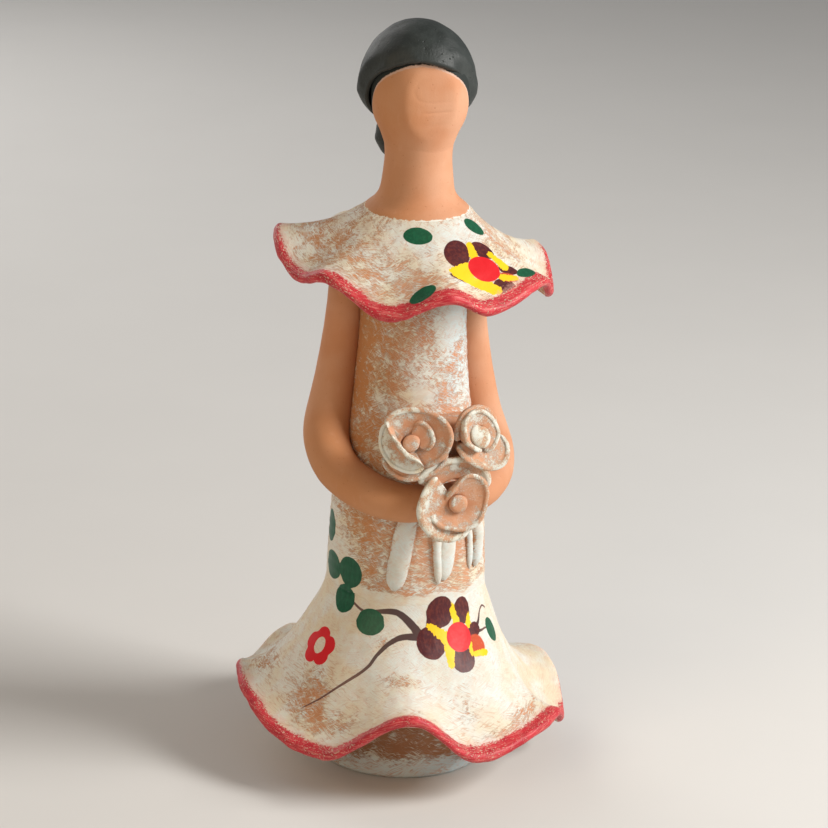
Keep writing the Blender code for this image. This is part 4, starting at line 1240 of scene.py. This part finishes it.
def makeBud(name, frameAt, finish, half, high, dome, turn, wiped):
    b = budShape
    level = np.linspace(0, 1, b["rows"])[:, None]
    angle = around(b["around"], 2 * math.pi)[None]
    shoulder = b["shoulder"]
    low, rise = level / shoulder, (level - shoulder) / (1 - shoulder)
    cap = np.sqrt(np.clip(1 - ((level - shoulder) / b["capHigh"]) ** 2, 0, 1))
    share = np.where(level < shoulder, 0.8 + 0.2 * low, cap)
    domed = b["neck"] + (dome - b["neck"]) * np.sin(rise * math.pi / 2)
    z = np.where(level < shoulder, b["foot"] + (b["neck"] - b["foot"]) * low, domed)
    x, y = half * share * np.cos(angle), high * share * np.sin(angle)
    local = turnedAbout(x, y, z + 0 * x, turn)
    foldAt, foldWide, foldDeep = b["fold"]
    fold = np.exp(-((np.angle(np.exp(1j * (angle - foldAt - z * 0.5))) / foldWide) ** 2)) * foldDeep
    dents = 0.12 * lumps(local, 1.5, 91)
    local = local * (1 - (fold * share * 0.3)[..., None] * (1, 1, 0)) + dents[..., None]
    points = fromFrame(frameAt, local)
    # painted shade on the lower part of the bud
    wipe, deep = np.where(level > 0.5, wiped, 0.0), np.where(level < 0.45, 0.5, 0.0)
    marks = {"wipe": wipe + 0 * x, "deep": deep + 0 * x}
    pieceFromGrid(name + "_rolled_bud", points, finish, [name + "_bud"], False, marks)


def makeRose(name, shape):
    frameAt = roseFrame(name, *shape["frame"])
    finish = wipedRose(name + "_wiped")
    used = {}
    for part, rim, inner, thick, bowl, wipeMore in shape["petals"]:
        points, marks = petalGrid(frameAt, rim, inner, shape["depth"], thick, bowl)
        marks["wipe"] = marks["wipe"] * (0.55 + 0.45 * wipeMore) - 0.25 * (1 - wipeMore)
        used[part] = used.get(part, 0) + 1
        label = f"{name}_{part}_{('strip', 'wall', 'edge')[used[part] - 1]}"
        pieceFromGrid(label, points, finish, [f"{name}_{part}"], False, marks)
    makeBud(name, frameAt, finish, *shape["bud"])


wadShape = {
    "square": 3.2, "trimTop": 3.4, "trim": 0.2, "around": 80, "rows": 46, "lumps": ((0.35, 4.0, 95),),
}


def makeWad():
    # the lump of clay that carries the roses; a higher square gives it flatter sides
    w = wadShape
    low, high = boxOf("bouquet_pad")
    high = high - np.array([0, 0, w["trimTop"]])
    centre, half = (low + high) / 2, (high - low) / 2 - w["trim"]
    level = np.linspace(-0.99, 0.99, w["rows"])[:, None]
    angle = around(w["around"], 2 * math.pi)[None]
    share = (1 - np.abs(level) ** w["square"]) ** (1 / w["square"])
    c, s = np.cos(angle), np.sin(angle)
    swell = share * (np.abs(c) ** w["square"] + np.abs(s) ** w["square"]) ** (-1 / w["square"])
    points = centre + half * np.stack([swell * c, swell * s, level + 0 * c], -1)
    points = swollen(points, unit(points - centre), w["lumps"])
    # painted shade over the whole wad, behind the roses
    marks = {"wipe": np.zeros(points.shape[:2]), "deep": np.full(points.shape[:2], 0.35)}
    pieceFromGrid("bouquet_wad", points, wipedRose("wadClay"), ["bouquet_pad"], False, marks)


stemShape = {
    "top": -5.0, "length": 25.0, "rings": 60, "around": 28, "lumps": ((0.16, 4.0, 101), (0.07, 1.5, 102)),
    "shares": ((0, 0.7), (0.15, 0.9), (0.4, 1.0), (0.75, 0.9), (0.92, 0.66), (1, 0.2)),
    "strands": (  # node, bearings at the top, middle and foot, width, thickness, extra length
        ("stem_far_left", -18.0, -23.0, -27.5, 7.6, 3.0, 1.8),
        ("stem_middle_left", 3.6, 3.2, 5.0, 3.4, 3.0, -0.2),
        ("stem_middle_right", 11.4, 11.2, 9.4, 6.4, 3.2, -1.2),
        ("stem_right_inner", 27.0, 32.0, 33.5, 3.0, 2.6, -2.6),
        ("stem_far_right", 34.0, 41.0, 40.0, 5.6, 4.6, -2.6),
    ),
}


def makeStem(node, top, middle, foot, width, thickness, longer):
    s = stemShape
    t = np.linspace(0, 1, s["rings"])
    height = handHeight + s["top"] - (s["length"] + longer) * t
    bearing = smoothCurve(((0, top), (0.5, middle), (1, foot)), t)
    reach = columnRadius(height) + thickness * (0.22 - 0.14 * t)  # pressed in, more so at the foot
    centre, away, across = laidOnColumn(reach, bearing, height)
    size = smoothCurve(s["shares"], t)[:, None, None] / 2
    turn = around(s["around"], 2 * math.pi)[None]
    angle = turn[..., None]
    points = centre + size * (away * thickness * np.cos(angle) + across * width * np.sin(angle))
    points = swollen(points, unit(points - centre), s["lumps"])
    length = 25 * t[:, None] + 0 * turn
    turn = turn + 0 * length
    brush = np.stack([width / 2 * np.sin(turn), -width / 2 * np.cos(turn), length], -1)
    cover = -0.35 + 1.25 * np.cos(turn).clip(0, 1) + 0.35 * easeIn(14, 24, length)
    marks = {"brush": brush, "cover": cover, "cool": 0.45 + 0 * length, "ochre": 0.5 + 0 * length}
    finish = paintedDress(node + "_paint")
    pieceFromGrid(node + "_strand", points, finish, [node], False, marks)


lightSetup = {
    "key": {"spot": (700, -470, 620), "size": 400, "power": 12.6, "colour": (1.0, 0.98, 0.95)},
    "fill": {"spot": (-800, -520, 560), "size": 700, "power": 3.4, "colour": (1.0, 0.78, 0.53)},
    "back": {"spot": (-260, 900, 520), "size": 700, "power": 3.6, "colour": (1.0, 0.98, 0.96)},
    "aim": (0, 0, 120), "sky": (0.60, 0.60, 0.61), "skyStrength": 0.30, "floor": (0.66, 0.65, 0.63),
    "floorSize": 4000.0,
}


def makeStage():
    for name in ("key", "fill", "back"):
        lamp = lightSetup[name]
        data = bpy.data.lights.new(name, "AREA")
        data.size = lamp["size"] * mm
        data.energy = lamp["power"]
        data.color = lamp["colour"]
        light = bpy.data.objects.new(name, data)
        light.location = Vector(lamp["spot"]) * mm
        towards = Vector(lightSetup["aim"]) * mm - light.location
        light.rotation_euler = towards.to_track_quat("-Z", "Y").to_euler()
        bpy.context.scene.collection.objects.link(light)
    world = bpy.data.worlds.new("studio")
    world.use_nodes = True
    sky = world.node_tree.nodes["Background"].inputs
    sky["Color"].default_value = (*lightSetup["sky"], 1.0)
    sky["Strength"].default_value = lightSetup["skyStrength"]
    bpy.context.scene.world = world
    half = lightSetup["floorSize"] * mm / 2
    mesh = bpy.data.meshes.new("floor")
    corners = [(-half, -half, 0), (half, -half, 0), (half, half, 0), (-half, half, 0)]
    mesh.from_pydata(corners, [], [(0, 1, 2, 3)])
    floor = bpy.data.objects.new("floor", mesh)
    f = Finish("paleFloor", roughness=0.9, specular=0.0)
    where = f.place()
    paler = tuple(c * 1.04 for c in lightSetup["floor"])
    f.colour(f.mix(f.grain(where, 60.0, 3.0), lightSetup["floor"], paler))
    mesh.materials.append(f.material)
    bpy.context.scene.collection.objects.link(floor)


makeCamera()
makeStage()
bpy.context.scene.view_settings.view_transform = "Standard"
print("camera, light and floor")
makeColumn()
makeRuffle(collarShape)
makeRuffle(flounceShape)
print("painted dress")
makeNeck()
makeHead()
makeHood()
makeBun()
print("neck, head and hair")
makeArm("right", -1, "right_arm")
makeArm("left", 1, "left_arm")
makeWad()
for roseName, roseShape in roseShapes.items():
    makeRose(roseName, roseShape)
for strand in stemShape["strands"]:
    makeStem(*strand)
print("arms and roses")
